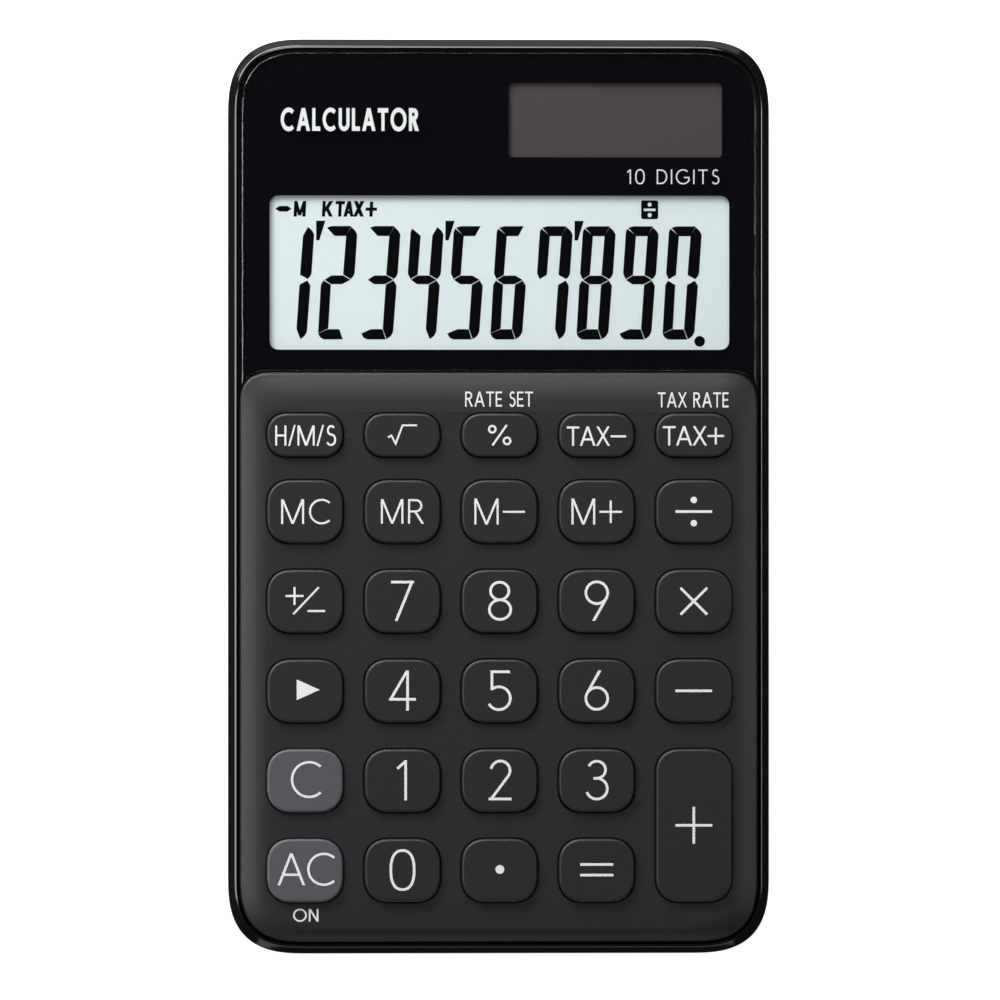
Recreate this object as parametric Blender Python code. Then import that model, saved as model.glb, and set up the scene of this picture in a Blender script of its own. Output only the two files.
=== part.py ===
"""A slim solar pocket calculator, built as the assembly it is on a bench.

The origin is under the middle of the back face. +X points right across the keys, +Y towards the display
end and +Z out through the keys. Heights below are measured from the back face.
"""
import math

import bmesh
import bpy

MM = 0.001

# The whole calculator
WIDTH = 70.0 * MM
LENGTH = 118.0 * MM
HEIGHT = 8.0 * MM
CORNER = 10.2 * MM
SQUIRCLE = 2.8  # exponent of the corner curves; 2 would make them circles
CASE_STEPS = 6  # straight steps in each corner of the case
GAP = 0.25 * MM  # running clearance between neighbouring pieces

# Rear case: a tub whose wall wraps round the front and ends in a rim
FLOOR = 1.1 * MM
WALL = 2.0 * MM
RIM_WIDTH = 1.1 * MM
LEDGE = 4.3 * MM
RIM_TOP = 6.6 * MM
PAD_TOP = 2.0 * MM
PAD_RADIUS = 2.9 * MM
REAR_PROFILE = (  # (height, inset from the widest outline), from the back face up to the rim
    (0.0 * MM, 2.4 * MM),
    (0.35 * MM, 1.3 * MM),
    (1.2 * MM, 0.35 * MM),
    (2.2 * MM, 0.0 * MM),
    (5.2 * MM, 0.0 * MM),
    (6.1 * MM, 0.3 * MM),
    (RIM_TOP, 0.95 * MM),
)

# Upper case: a slab under the display and a raised, pillowed plate round the keys
SLAB_INSET = 1.3 * MM
SLAB_BOTTOM = 4.5 * MM
SLAB_TOP = 5.5 * MM
PLATE_INSET = 1.5 * MM
PLATE_TOP_EDGE = 16.0 * MM
PLATE_TOP_CORNER = 4.6 * MM
PLATE_CROWN = 7.25 * MM
PLATE_PROFILE = (  # (height, inset at the sides and bottom, inset at the edge next to the display)
    (SLAB_TOP - 0.2 * MM, 0.0 * MM, 0.0 * MM),
    (6.35 * MM, 0.0 * MM, 0.0 * MM),
    (6.6 * MM, 0.25 * MM, 0.3 * MM),
    (7.0 * MM, 1.4 * MM, 2.2 * MM),
    (PLATE_CROWN, 2.8 * MM, 4.8 * MM),
)
POCKET_TOP = 6.3 * MM
POCKET = (-31.5 * MM, 31.5 * MM, -53.3 * MM, 11.8 * MM)  # x from, x to, y from, y to

# Keys
COLUMN_PITCH = 12.55 * MM
ROW_PITCH = 11.57 * MM
FIRST_BIG_ROW = -1.95 * MM
SMALL_ROW = 7.91 * MM
CAP_WIDTH = 9.8 * MM
CAP_HEIGHT = 8.15 * MM
SMALL_CAP_HEIGHT = 5.6 * MM
CAP_CORNER = 3.3 * MM
SMALL_CAP_CORNER = 2.75 * MM
CAP_SQUIRCLE = 2.35
CAP_BEVEL = 0.3 * MM
HOLE_CLEARANCE = 0.22 * MM
FLANGE_BOTTOM = 5.5 * MM
FLANGE_TOP = 6.05 * MM
FLANGE_WIDTH = 0.45 * MM
PLUNGER_BOTTOM = 4.95 * MM
PLUNGER_INSET = 2.0 * MM
ROWS = (  # the names in each row of five columns, from the display down
    ("key_hms", "key_sqrt", "key_percent", "key_tax_minus", "key_tax_plus"),
    ("key_mc", "key_mr", "key_m_minus", "key_m_plus", "key_divide"),
    ("key_sign", "key_7", "key_8", "key_9", "key_multiply"),
    ("key_backspace", "key_4", "key_5", "key_6", "key_minus"),
    ("key_c", "key_1", "key_2", "key_3", "key_plus"),
    ("key_ac", "key_0", "key_point", "key_equals"),
)
GREY_KEYS = ("key_c", "key_ac")
TALL_KEY = "key_plus"  # spans the last two rows

# Rubber keypad: one sheet with a hollow dome under each key
SHEET = (-31.0 * MM, 31.0 * MM, -52.7 * MM, 12.4 * MM)
SHEET_BOTTOM = 3.4 * MM
SHEET_TOP = 3.8 * MM
DOME_TOP = 4.85 * MM
DOME_RADIUS = 3.6 * MM
SMALL_DOME_RADIUS = 2.6 * MM
DOME_WALL = 0.45 * MM
DOME_CROWN = 0.65  # crown radius as a share of the base radius

# Circuit board
BOARD_INSET = 3.0 * MM
BOARD_BOTTOM = 2.2 * MM
BOARD_TOP = 3.2 * MM

# Display: acrylic window over a black printed film, over the LCD
WINDOW_INSET = 1.75 * MM
WINDOW_BOTTOM = 5.9 * MM
WINDOW_TOP = 6.85 * MM
WINDOW_BEVEL = 0.12 * MM
FILM_BOTTOM = 5.6 * MM
FILM_TOP = 5.8 * MM
LCD_VIEW = (-29.83 * MM, 29.83 * MM, 18.95 * MM, 38.98 * MM)
LCD_VIEW_CORNER = 1.05 * MM
LCD_MARGIN = 0.65 * MM  # glass beyond the view area
LCD_CONTACT_EDGE = 17.0 * MM  # the front glass reaches down to here, over the rubber connector
POLARIZER = (5.15 * MM, 5.3 * MM)
FRONT_GLASS = (4.55 * MM, 5.1 * MM)
REAR_GLASS = (3.95 * MM, 4.5 * MM)
REFLECTOR = (3.7 * MM, 3.9 * MM)
CONNECTOR = (-29.0 * MM, 29.0 * MM, 17.1 * MM, 18.1 * MM)

# Solar cell and its leads
SOLAR_VIEW = (1.29 * MM, 28.9 * MM, 43.81 * MM, 53.42 * MM)
SOLAR_VIEW_CORNER = 0.7 * MM
SOLAR_MARGIN = 0.45 * MM
SOLAR_BOTTOM = 4.6 * MM
SOLAR_TOP = 5.4 * MM
LEAD_RADIUS = 0.28 * MM
LEAD_STARTS = (4.0 * MM, 7.0 * MM)  # x of each lead under the cell
LEAD_END_X = -3.5 * MM
LEAD_Y = (46.0 * MM, 50.5 * MM)

# Battery and its contacts
BATTERY_X = -17.0 * MM
BATTERY_Y = 48.5 * MM
BATTERY_RADIUS = 5.8 * MM
BATTERY_BOTTOM = 1.35 * MM
BATTERY_TOP = 4.4 * MM
BATTERY_CAP_RADIUS = 4.9 * MM
BATTERY_CAP_HEIGHT = 0.3 * MM
BATTERY_WELL = 6.5 * MM  # half side of the board's cut-out
CONTACT_WIDTH = 3.0 * MM
CONTACT_THICKNESS = 0.2 * MM
CONTACT_FOOT = 1.6 * MM

# Small electronics under the board
BLOB_AT = (9.0 * MM, 27.0 * MM)
BLOB_RADIUS = 4.6 * MM
BLOB_HEIGHT = 0.8 * MM
CHIPS = {  # name: (x, y, length, width, height)
    "capacitor": (-8.0 * MM, 30.0 * MM, 3.2 * MM, 1.6 * MM, 0.75 * MM),
    "resistor": (-8.0 * MM, 24.0 * MM, 2.0 * MM, 1.25 * MM, 0.5 * MM),
}

# Case screws, driven from the back into bosses of the upper case
SCREWS = {  # name: (x, y, top of its boss)
    "case_screw_top_left": (-28.0 * MM, 41.6 * MM, 5.3 * MM),
    "case_screw_top_right": (28.0 * MM, 41.6 * MM, 5.3 * MM),
    "case_screw_middle_left": (-1.5 * COLUMN_PITCH, FIRST_BIG_ROW - 0.5 * ROW_PITCH, 6.6 * MM),
    "case_screw_middle_right": (1.5 * COLUMN_PITCH, FIRST_BIG_ROW - 0.5 * ROW_PITCH, 6.6 * MM),
    "case_screw_bottom_left": (-1.5 * COLUMN_PITCH, -54.6 * MM, 6.0 * MM),
    "case_screw_bottom_right": (1.5 * COLUMN_PITCH, -54.6 * MM, 6.0 * MM),
}
BOSS_RADIUS = 1.7 * MM
BOSS_BOTTOM = 2.3 * MM
BOSS_PASSAGE = 2.0 * MM  # radius of the board's holes round the bosses
PILOT_RADIUS = 1.0 * MM
PILOT_TOP = 5.15 * MM
SINK_RADIUS = 1.85 * MM
SINK_DEPTH = 1.25 * MM
HEAD_RADIUS = 1.55 * MM
HEAD_BOTTOM = 0.25 * MM
HEAD_TOP = 1.0 * MM
SHANK_RADIUS = 0.75 * MM
SHANK_TOP = 4.9 * MM

MATERIALS = {  # name: (red, green, blue), roughness, metallic, alpha
    "gloss_black": ((0.012, 0.011, 0.015), 0.18, 0.0, 1.0),
    "key_plate": ((0.028, 0.027, 0.031), 0.55, 0.0, 1.0),
    "key_dark": ((0.028, 0.027, 0.032), 0.5, 0.0, 1.0),
    "key_grey": ((0.098, 0.100, 0.112), 0.5, 0.0, 1.0),
    "clear_acrylic": ((0.9, 0.92, 0.94), 0.04, 0.0, 0.25),
    "printed_film": ((0.006, 0.006, 0.007), 0.3, 0.0, 1.0),
    "polarizer": ((0.66, 0.74, 0.75), 0.25, 0.0, 0.4),
    "lcd_glass": ((0.75, 0.82, 0.80), 0.05, 0.0, 0.4),
    "lcd_reflector": ((0.66, 0.75, 0.76), 0.4, 0.0, 1.0),
    "solar_cell": ((0.070, 0.060, 0.062), 0.2, 0.0, 1.0),
    "rubber": ((0.20, 0.20, 0.21), 0.7, 0.0, 1.0),
    "connector_rubber": ((0.55, 0.20, 0.30), 0.6, 0.0, 1.0),
    "board_green": ((0.02, 0.11, 0.05), 0.4, 0.0, 1.0),
    "epoxy": ((0.01, 0.01, 0.01), 0.25, 0.0, 1.0),
    "ceramic": ((0.45, 0.33, 0.22), 0.5, 0.0, 1.0),
    "steel": ((0.55, 0.55, 0.56), 0.3, 1.0, 1.0),
    "wire_red": ((0.45, 0.02, 0.02), 0.4, 0.0, 1.0),
    "wire_black": ((0.01, 0.01, 0.01), 0.4, 0.0, 1.0),
}


def clear_scene():
    for old in list(bpy.data.objects):
        bpy.data.objects.remove(old, do_unlink=True)


def material(name):
    if name in bpy.data.materials:
        return bpy.data.materials[name]
    colour, roughness, metallic, alpha = MATERIALS[name]
    made = bpy.data.materials.new(name)
    made.use_nodes = True
    shader = made.node_tree.nodes["Principled BSDF"]
    shader.inputs["Base Color"].default_value = (*colour, 1.0)
    shader.inputs["Roughness"].default_value = roughness
    shader.inputs["Metallic"].default_value = metallic
    shader.inputs["Alpha"].default_value = alpha
    return made


# Outlines, anticlockwise seen from above


def corner_point(centre, radius, angle, power=SQUIRCLE):
    """A point of a squircle corner, at an angle from +X."""
    across = math.copysign(abs(math.cos(angle)) ** (2 / power), math.cos(angle))
    along = math.copysign(abs(math.sin(angle)) ** (2 / power), math.sin(angle))
    return (centre[0] + radius * across, centre[1] + radius * along)


def rounded(x_from, x_to, y_from, y_to, corner, far_corner=None, power=SQUIRCLE, steps=4):
    """A rectangle with rounded corners. far_corner is the radius at y_to, where it differs."""
    far_corner = corner if far_corner is None else far_corner
    points = []
    for quadrant in range(4):
        radius = far_corner if quadrant < 2 else corner
        x_centre = x_to - radius if quadrant in (0, 3) else x_from + radius
        y_centre = y_to - radius if quadrant < 2 else y_from + radius
        for step in range(steps + 1):
            angle = math.radians(90) * (quadrant + step / steps)
            points.append(corner_point((x_centre, y_centre), radius, angle, power))
    return points


def case_outline(inset):
    """The calculator's outline seen from above, drawn in by inset."""
    x, y = WIDTH / 2 - inset, LENGTH / 2 - inset
    return rounded(-x, x, -y, y, CORNER - inset, steps=CASE_STEPS)


def plate_outline(inset, top_inset):
    x, y = WIDTH / 2 - PLATE_INSET - inset, LENGTH / 2 - PLATE_INSET - inset
    top = PLATE_TOP_EDGE - top_inset
    bottom_corner = CORNER - PLATE_INSET - inset
    top_corner = max(PLATE_TOP_CORNER - inset, 2 * MM)
    return rounded(-x, x, -y, top, bottom_corner, top_corner, steps=CASE_STEPS)


def window_outline(inset):
    """The display window's outline: its lower edge runs round the top corners of the key plate."""
    x, y = WIDTH / 2 - WINDOW_INSET - inset, LENGTH / 2 - WINDOW_INSET - inset
    radius = PLATE_TOP_CORNER + GAP + inset
    centre = (WIDTH / 2 - PLATE_INSET - PLATE_TOP_CORNER, PLATE_TOP_EDGE - PLATE_TOP_CORNER)
    tip = math.acos(((x - centre[0]) / radius) ** (SQUIRCLE / 2))
    steps = 4
    right_arc = []
    for step in range(steps + 1):
        angle = math.radians(90) + (tip - math.radians(90)) * step / steps
        right_arc.append(corner_point(centre, radius, angle))
    left_arc = [(-px, py) for px, py in reversed(right_arc)]
    whole = rounded(-x, x, -y, y, CORNER - WINDOW_INSET - inset, steps=CASE_STEPS)
    upper_half = [point for point in whole if point[1] > 0]
    return left_arc + right_arc + upper_half


def circle(radius, centre=(0.0, 0.0), sides=20):
    points = []
    for step in range(sides):
        angle = math.tau * step / sides
        points.append((centre[0] + radius * math.cos(angle), centre[1] + radius * math.sin(angle)))
    return points


def rectangle(x_from, x_to, y_from, y_to):
    return [(x_from, y_from), (x_to, y_from), (x_to, y_to), (x_from, y_to)]


def grown(box, margin):
    x_from, x_to, y_from, y_to = box
    return (x_from - margin, x_to + margin, y_from - margin, y_to + margin)


# Solids


def add_loft(mesh, rings):
    """Adds a closed body through rings of (outline, height), from its underside outwards and up."""
    levels = [[mesh.verts.new((x, y, z)) for x, y in outline] for outline, z in rings]
    for low, high in zip(levels, levels[1:]):
        for here in range(len(low)):
            there = (here + 1) % len(low)
            mesh.faces.new((low[here], low[there], high[there], high[here]))
    mesh.faces.new(levels[0][::-1])
    mesh.faces.new(levels[-1])


def prism(outline, bottom, top):
    return [(outline, bottom), (outline, top)]


def finished_object(name, mesh, material_name, location=(0.0, 0.0, 0.0)):
    data = bpy.data.meshes.new(name)
    mesh.to_mesh(data)
    mesh.free()
    data.materials.append(material(material_name))
    data.shade_smooth()
    data.set_sharp_from_angle(angle=math.radians(30))
    made = bpy.data.objects.new(name, data)
    made.location = location
    bpy.context.scene.collection.objects.link(made)
    return made


def solid(name, material_name, *bodies, location=(0.0, 0.0, 0.0)):
    """One object holding a loft for each body."""
    mesh = bmesh.new()
    for rings in bodies:
        add_loft(mesh, rings)
    return finished_object(name, mesh, material_name, location)


def sheet(name, material_name, outer, holes, bottom, top):
    """A flat plate with holes in it."""
    mesh = bmesh.new()
    for outline in (outer, *holes):
        ring = [mesh.verts.new((x, y, bottom)) for x, y in outline]
        for here, there in zip(ring, ring[1:] + ring[:1]):
            mesh.edges.new((here, there))
    bmesh.ops.triangle_fill(mesh, use_beauty=True, edges=mesh.edges[:])
    raised = bmesh.ops.extrude_face_region(mesh, geom=mesh.faces[:], use_keep_orig=True)
    lifted = [item for item in raised["geom"] if isinstance(item, bmesh.types.BMVert)]
    bmesh.ops.translate(mesh, verts=lifted, vec=(0, 0, top - bottom))
    bmesh.ops.recalc_face_normals(mesh, faces=mesh.faces[:])
    return finished_object(name, mesh, material_name)


def combine(target, operation, *bodies):
    """Joins the bodies to the target, or cuts them out of it."""
    label = f"{target.name}_{operation.lower()}_{len(target.modifiers)}"
    tool = solid(label, "steel", *bodies)
    tool.hide_render = True
    tool.display_type = "WIRE"
    modifier = target.modifiers.new(label, "BOOLEAN")
    modifier.operation = operation
    modifier.solver = "EXACT"
    modifier.object = tool


# Keys


def key_places():
    """Each key's name, centre and cap size."""
    for row, names in enumerate(ROWS):
        for column, name in enumerate(names):
            x = (column - 2) * COLUMN_PITCH
            y = SMALL_ROW if row == 0 else FIRST_BIG_ROW - (row - 1) * ROW_PITCH
            height = SMALL_CAP_HEIGHT if row == 0 else CAP_HEIGHT
            if name == TALL_KEY:
                y -= ROW_PITCH / 2
                height += ROW_PITCH
            yield name, x, y, height


def key_outline(height, margin, centre=(0.0, 0.0)):
    """A cap's outline, grown by margin."""
    x, y = centre
    half_width, half_height = CAP_WIDTH / 2 + margin, height / 2 + margin
    corner = SMALL_CAP_CORNER if height == SMALL_CAP_HEIGHT else CAP_CORNER
    corner += max(margin, -2.2 * MM)
    box = (x - half_width, x + half_width, y - half_height, y + half_height)
    return rounded(*box, corner, power=CAP_SQUIRCLE, steps=3)


def make_keys():
    for name, x, y, height in key_places():
        plunger = key_outline(height, -PLUNGER_INSET)
        flange = key_outline(height, FLANGE_WIDTH)
        cap = key_outline(height, 0.0)
        rings = [
            (plunger, PLUNGER_BOTTOM),
            (plunger, FLANGE_BOTTOM),
            (flange, FLANGE_BOTTOM),
            (flange, FLANGE_TOP),
            (cap, FLANGE_TOP),
            (cap, HEIGHT - CAP_BEVEL),
            (key_outline(height, -CAP_BEVEL), HEIGHT),
        ]
        colour = "key_grey" if name in GREY_KEYS else "key_dark"
        solid(name, colour, rings, location=(x, y, 0.0))


def make_rubber_keypad():
    """A sheet with hollow domes. The screw bosses pass through it."""
    keypad = solid("rubber_keypad", "rubber", prism(rectangle(*SHEET), SHEET_BOTTOM, SHEET_TOP))
    domes, hollows = [], []
    for _, x, y, height in key_places():
        radius = SMALL_DOME_RADIUS if height == SMALL_CAP_HEIGHT else DOME_RADIUS
        inner = radius - DOME_WALL
        shoulder = DOME_TOP - DOME_WALL
        domes.append([
            (circle(radius, (x, y), 10), SHEET_BOTTOM + 0.1 * MM),
            (circle(radius, (x, y), 10), SHEET_TOP),
            (circle(DOME_CROWN * radius, (x, y), 10), DOME_TOP),
        ])
        hollows.append([
            (circle(inner, (x, y), 10), SHEET_BOTTOM - GAP),
            (circle(inner, (x, y), 10), SHEET_BOTTOM + 0.2 * MM),
            (circle(DOME_CROWN * inner, (x, y), 10), shoulder),
        ])
    combine(keypad, "UNION", *domes)
    for x, y, _ in SCREWS.values():
        if y > SHEET[2] and y < SHEET[3]:
            passage = circle(BOSS_PASSAGE, (x, y), 12)
            hollows.append(prism(passage, SHEET_BOTTOM - GAP, SHEET_TOP + GAP))
    combine(keypad, "DIFFERENCE", *hollows)


# Case


def make_rear_case():
    outside = [(case_outline(inset), height) for height, inset in REAR_PROFILE]
    inside = [
        (case_outline(RIM_WIDTH), RIM_TOP),
        (case_outline(RIM_WIDTH), LEDGE),
        (case_outline(WALL), LEDGE),
        (case_outline(WALL), FLOOR),
    ]
    case = solid("rear_case", "gloss_black", outside + inside)
    places = [(x, y) for x, y, _ in SCREWS.values()]
    overlap = 0.3 * MM
    pads = [prism(circle(PAD_RADIUS, place, 12), FLOOR - overlap, PAD_TOP) for place in places]
    ribs = []
    for side in (-1, 1):
        rib = rectangle(side * 6.3 * MM - 0.5 * MM, side * 6.3 * MM + 0.5 * MM, -50 * MM, 14 * MM)
        ribs.append(prism(rib, FLOOR - overlap, PAD_TOP))
    combine(case, "UNION", *pads, *ribs)
    sinks = [prism(circle(SINK_RADIUS, place, 16), -GAP, SINK_DEPTH) for place in places]
    passages = [prism(circle(PILOT_RADIUS, place, 12), -2 * GAP, PAD_TOP + GAP) for place in places]
    well = prism(circle(BATTERY_RADIUS + 3 * GAP, (BATTERY_X, BATTERY_Y), 24), 0.6 * MM, FLOOR + GAP)
    combine(case, "DIFFERENCE", *sinks, well)
    combine(case, "DIFFERENCE", *passages)


def make_upper_case():
    case = solid("upper_case", "key_plate", prism(case_outline(SLAB_INSET), SLAB_BOTTOM, SLAB_TOP))
    combine(case, "UNION", [(plate_outline(side, top), z) for z, side, top in PLATE_PROFILE])
    combine(case, "DIFFERENCE", prism(rectangle(*POCKET), SLAB_BOTTOM - GAP, POCKET_TOP))
    bosses = [prism(circle(BOSS_RADIUS, (x, y), 12), BOSS_BOTTOM, top) for x, y, top in SCREWS.values()]
    combine(case, "UNION", *bosses)
    openings = []
    for _, x, y, height in key_places():
        openings.append(prism(key_outline(height, HOLE_CLEARANCE, (x, y)), POCKET_TOP - GAP, HEIGHT))
    for x, y, _ in SCREWS.values():
        openings.append(prism(circle(PILOT_RADIUS, (x, y), 12), BOSS_BOTTOM - GAP, PILOT_TOP))
    x_from, x_to, _, y_to = grown(LCD_VIEW, LCD_MARGIN + GAP)
    lcd_opening = rectangle(x_from, x_to, LCD_CONTACT_EDGE - 0.15 * MM, y_to)
    openings.append(prism(lcd_opening, SLAB_BOTTOM - GAP, SLAB_TOP + GAP))
    solar_opening = rectangle(*grown(SOLAR_VIEW, SOLAR_MARGIN + GAP))
    openings.append(prism(solar_opening, SLAB_BOTTOM - GAP, SLAB_TOP + GAP))
    well = grown((BATTERY_X, BATTERY_X, BATTERY_Y, BATTERY_Y), BATTERY_WELL + 0.5 * MM)
    openings.append(prism(rectangle(*well), SLAB_BOTTOM - GAP, SLAB_TOP - 0.5 * MM))
    combine(case, "DIFFERENCE", *openings)


def make_case_screws():
    for name, (x, y, _) in SCREWS.items():
        rings = [
            (circle(HEAD_RADIUS - 0.25 * MM, sides=12), HEAD_BOTTOM),
            (circle(HEAD_RADIUS, sides=12), HEAD_BOTTOM + 0.2 * MM),
            (circle(HEAD_RADIUS, sides=12), HEAD_TOP),
            (circle(SHANK_RADIUS, sides=12), HEAD_TOP),
            (circle(SHANK_RADIUS, sides=12), SHANK_TOP - 0.4 * MM),
            (circle(0.3 * SHANK_RADIUS, sides=12), SHANK_TOP),
        ]
        solid(name, "steel", rings, location=(x, y, 0.0))


# Display and solar cell


def make_display():
    solid("display_window", "clear_acrylic", [
        (window_outline(0.0), WINDOW_BOTTOM),
        (window_outline(0.0), WINDOW_TOP - WINDOW_BEVEL),
        (window_outline(WINDOW_BEVEL), WINDOW_TOP),
    ])
    lcd_view = rounded(*LCD_VIEW, LCD_VIEW_CORNER)
    solar_view = rounded(*SOLAR_VIEW, SOLAR_VIEW_CORNER)
    views = (lcd_view, solar_view)
    sheet("panel_film", "printed_film", window_outline(0.1 * MM), views, FILM_BOTTOM, FILM_TOP)
    glass = rectangle(*grown(LCD_VIEW, LCD_MARGIN))
    x_from, x_to, _, y_to = grown(LCD_VIEW, LCD_MARGIN)
    long_glass = rectangle(x_from, x_to, LCD_CONTACT_EDGE, y_to)
    solid("lcd_front_polarizer", "polarizer", prism(glass, *POLARIZER))
    solid("lcd_front_glass", "lcd_glass", prism(long_glass, *FRONT_GLASS))
    solid("lcd_rear_glass", "lcd_glass", prism(glass, *REAR_GLASS))
    solid("lcd_reflector", "lcd_reflector", prism(glass, *REFLECTOR))
    connector = prism(rectangle(*CONNECTOR), BOARD_TOP + 0.05 * MM, FRONT_GLASS[0] - 0.05 * MM)
    solid("zebra_strip", "connector_rubber", connector)


def make_solar_cell():
    cell = rectangle(*grown(SOLAR_VIEW, SOLAR_MARGIN))
    solid("solar_cell", "solar_cell", prism(cell, SOLAR_BOTTOM, SOLAR_TOP))
    colours = ("wire_red", "wire_black")
    names = ("solar_lead_positive", "solar_lead_negative")
    for name, colour, x_start, y in zip(names, colours, LEAD_STARTS, LEAD_Y):
        make_lead(name, colour, x_start, y)


def make_lead(name, colour, x_start, y):
    """A wire from the underside of the cell down to the board, eased at both ends."""
    z_start = SOLAR_BOTTOM - LEAD_RADIUS - 0.1 * MM
    z_end = BOARD_TOP + LEAD_RADIUS + 0.1 * MM
    curve = bpy.data.curves.new(name, "CURVE")
    curve.dimensions = "3D"
    curve.bevel_depth = LEAD_RADIUS
    curve.bevel_resolution = 1
    curve.use_fill_caps = True
    spline = curve.splines.new("POLY")
    steps = 8
    spline.points.add(steps)
    for step, point in enumerate(spline.points):
        share = step / steps
        ease = share * share * (3 - 2 * share)
        x = x_start + (LEAD_END_X - x_start) * share
        point.co = (x, y, z_start + (z_end - z_start) * ease, 1.0)
    curve.materials.append(material(colour))
    lead = bpy.data.objects.new(name, curve)
    bpy.context.scene.collection.objects.link(lead)


# Board and battery


def make_board():
    board = solid("circuit_board", "board_green", prism(case_outline(BOARD_INSET), BOARD_BOTTOM, BOARD_TOP))
    well = grown((BATTERY_X, BATTERY_X, BATTERY_Y, BATTERY_Y), BATTERY_WELL)
    cuts = [prism(rectangle(*well), BOARD_BOTTOM - GAP, BOARD_TOP + GAP)]
    for x, y, _ in SCREWS.values():
        cuts.append(prism(circle(BOSS_PASSAGE, (x, y), 12), BOARD_BOTTOM - GAP, BOARD_TOP + GAP))
    combine(board, "DIFFERENCE", *cuts)


def make_electronics():
    solder = 0.05 * MM
    top = BOARD_BOTTOM - solder
    blob = [
        (circle(0.35 * BLOB_RADIUS, BLOB_AT, 16), top - BLOB_HEIGHT),
        (circle(0.75 * BLOB_RADIUS, BLOB_AT, 16), top - 0.8 * BLOB_HEIGHT),
        (circle(BLOB_RADIUS, BLOB_AT, 16), top),
    ]
    solid("processor_blob", "epoxy", blob)
    for name, (x, y, length, width, height) in CHIPS.items():
        box = rectangle(x - length / 2, x + length / 2, y - width / 2, y + width / 2)
        solid(name, "ceramic", prism(box, top - height, top))


def make_battery():
    centre = (BATTERY_X, BATTERY_Y)
    shoulder = BATTERY_BOTTOM + BATTERY_CAP_HEIGHT
    solid("battery_cell", "steel", [
        (circle(BATTERY_CAP_RADIUS, centre, 24), BATTERY_BOTTOM),
        (circle(BATTERY_CAP_RADIUS, centre, 24), shoulder),
        (circle(BATTERY_RADIUS, centre, 24), shoulder),
        (circle(BATTERY_RADIUS, centre, 24), BATTERY_TOP),
    ])
    make_contact("battery_positive_clip", 1, BATTERY_TOP + 0.1 * MM)
    make_contact("battery_negative_spring", -1, BATTERY_BOTTOM - 0.1 * MM - CONTACT_THICKNESS)


def make_contact(name, side, leaf_bottom):
    """A bent strip: a leaf on the cell, a riser beside it, and a foot on the board."""
    t = CONTACT_THICKNESS
    riser = BATTERY_WELL - 0.1 * MM
    foot_bottom = BOARD_TOP + 0.1 * MM
    foot_end = riser + CONTACT_FOOT
    if leaf_bottom > foot_bottom:
        profile = [
            (0, leaf_bottom), (riser - t, leaf_bottom), (riser - t, foot_bottom), (foot_end, foot_bottom),
            (foot_end, foot_bottom + t), (riser, foot_bottom + t), (riser, leaf_bottom + t),
            (0, leaf_bottom + t),
        ]
    else:
        profile = [
            (0, leaf_bottom), (riser, leaf_bottom), (riser, foot_bottom), (foot_end, foot_bottom),
            (foot_end, foot_bottom + t), (riser - t, foot_bottom + t), (riser - t, leaf_bottom + t),
            (0, leaf_bottom + t),
        ]
    mesh = bmesh.new()
    ends = []
    for y in (-CONTACT_WIDTH / 2, CONTACT_WIDTH / 2):
        ends.append([mesh.verts.new((side * x, y, z)) for x, z in profile])
    mesh.faces.new(ends[0])
    mesh.faces.new(ends[1][::-1])
    for here in range(len(profile)):
        there = (here + 1) % len(profile)
        mesh.faces.new((ends[0][here], ends[1][here], ends[1][there], ends[0][there]))
    bmesh.ops.recalc_face_normals(mesh, faces=mesh.faces[:])
    finished_object(name, mesh, "steel", location=(BATTERY_X, BATTERY_Y, 0.0))


clear_scene()
make_rear_case()
make_upper_case()
make_display()
make_solar_cell()
make_board()
make_electronics()
make_battery()
make_rubber_keypad()
make_keys()
make_case_screws()
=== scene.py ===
"""The looks of the pocket calculator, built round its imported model.

Every piece is made in the model's own frame: metres, origin under the middle of the back face, +X to the
right across the keys, +Y towards the display end and +Z out through the keys.
"""

import math
from collections import namedtuple

import bmesh
import bpy
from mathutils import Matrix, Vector
from mathutils.geometry import delaunay_2d_cdt


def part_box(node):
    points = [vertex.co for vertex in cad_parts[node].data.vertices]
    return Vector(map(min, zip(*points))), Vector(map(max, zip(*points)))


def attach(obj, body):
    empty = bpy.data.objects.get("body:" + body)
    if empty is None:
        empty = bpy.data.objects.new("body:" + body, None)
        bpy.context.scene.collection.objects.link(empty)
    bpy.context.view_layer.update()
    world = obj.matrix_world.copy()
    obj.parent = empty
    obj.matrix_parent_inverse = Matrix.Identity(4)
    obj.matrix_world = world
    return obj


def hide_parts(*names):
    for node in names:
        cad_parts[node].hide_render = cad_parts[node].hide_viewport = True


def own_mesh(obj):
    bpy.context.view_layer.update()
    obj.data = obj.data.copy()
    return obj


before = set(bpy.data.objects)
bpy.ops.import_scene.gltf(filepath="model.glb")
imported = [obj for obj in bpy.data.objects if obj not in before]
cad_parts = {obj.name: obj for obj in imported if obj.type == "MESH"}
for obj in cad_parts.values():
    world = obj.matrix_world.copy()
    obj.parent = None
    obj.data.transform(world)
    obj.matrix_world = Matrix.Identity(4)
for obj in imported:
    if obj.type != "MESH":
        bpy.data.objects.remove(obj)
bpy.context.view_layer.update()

MM = 0.001
CHASSIS = "chassis"
SQUIRCLE = 2.8  # exponent of the case's corner curves; 2 would make them circles
KEY_SQUIRCLE = 2.35
CORNER_STEPS = 24

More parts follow.
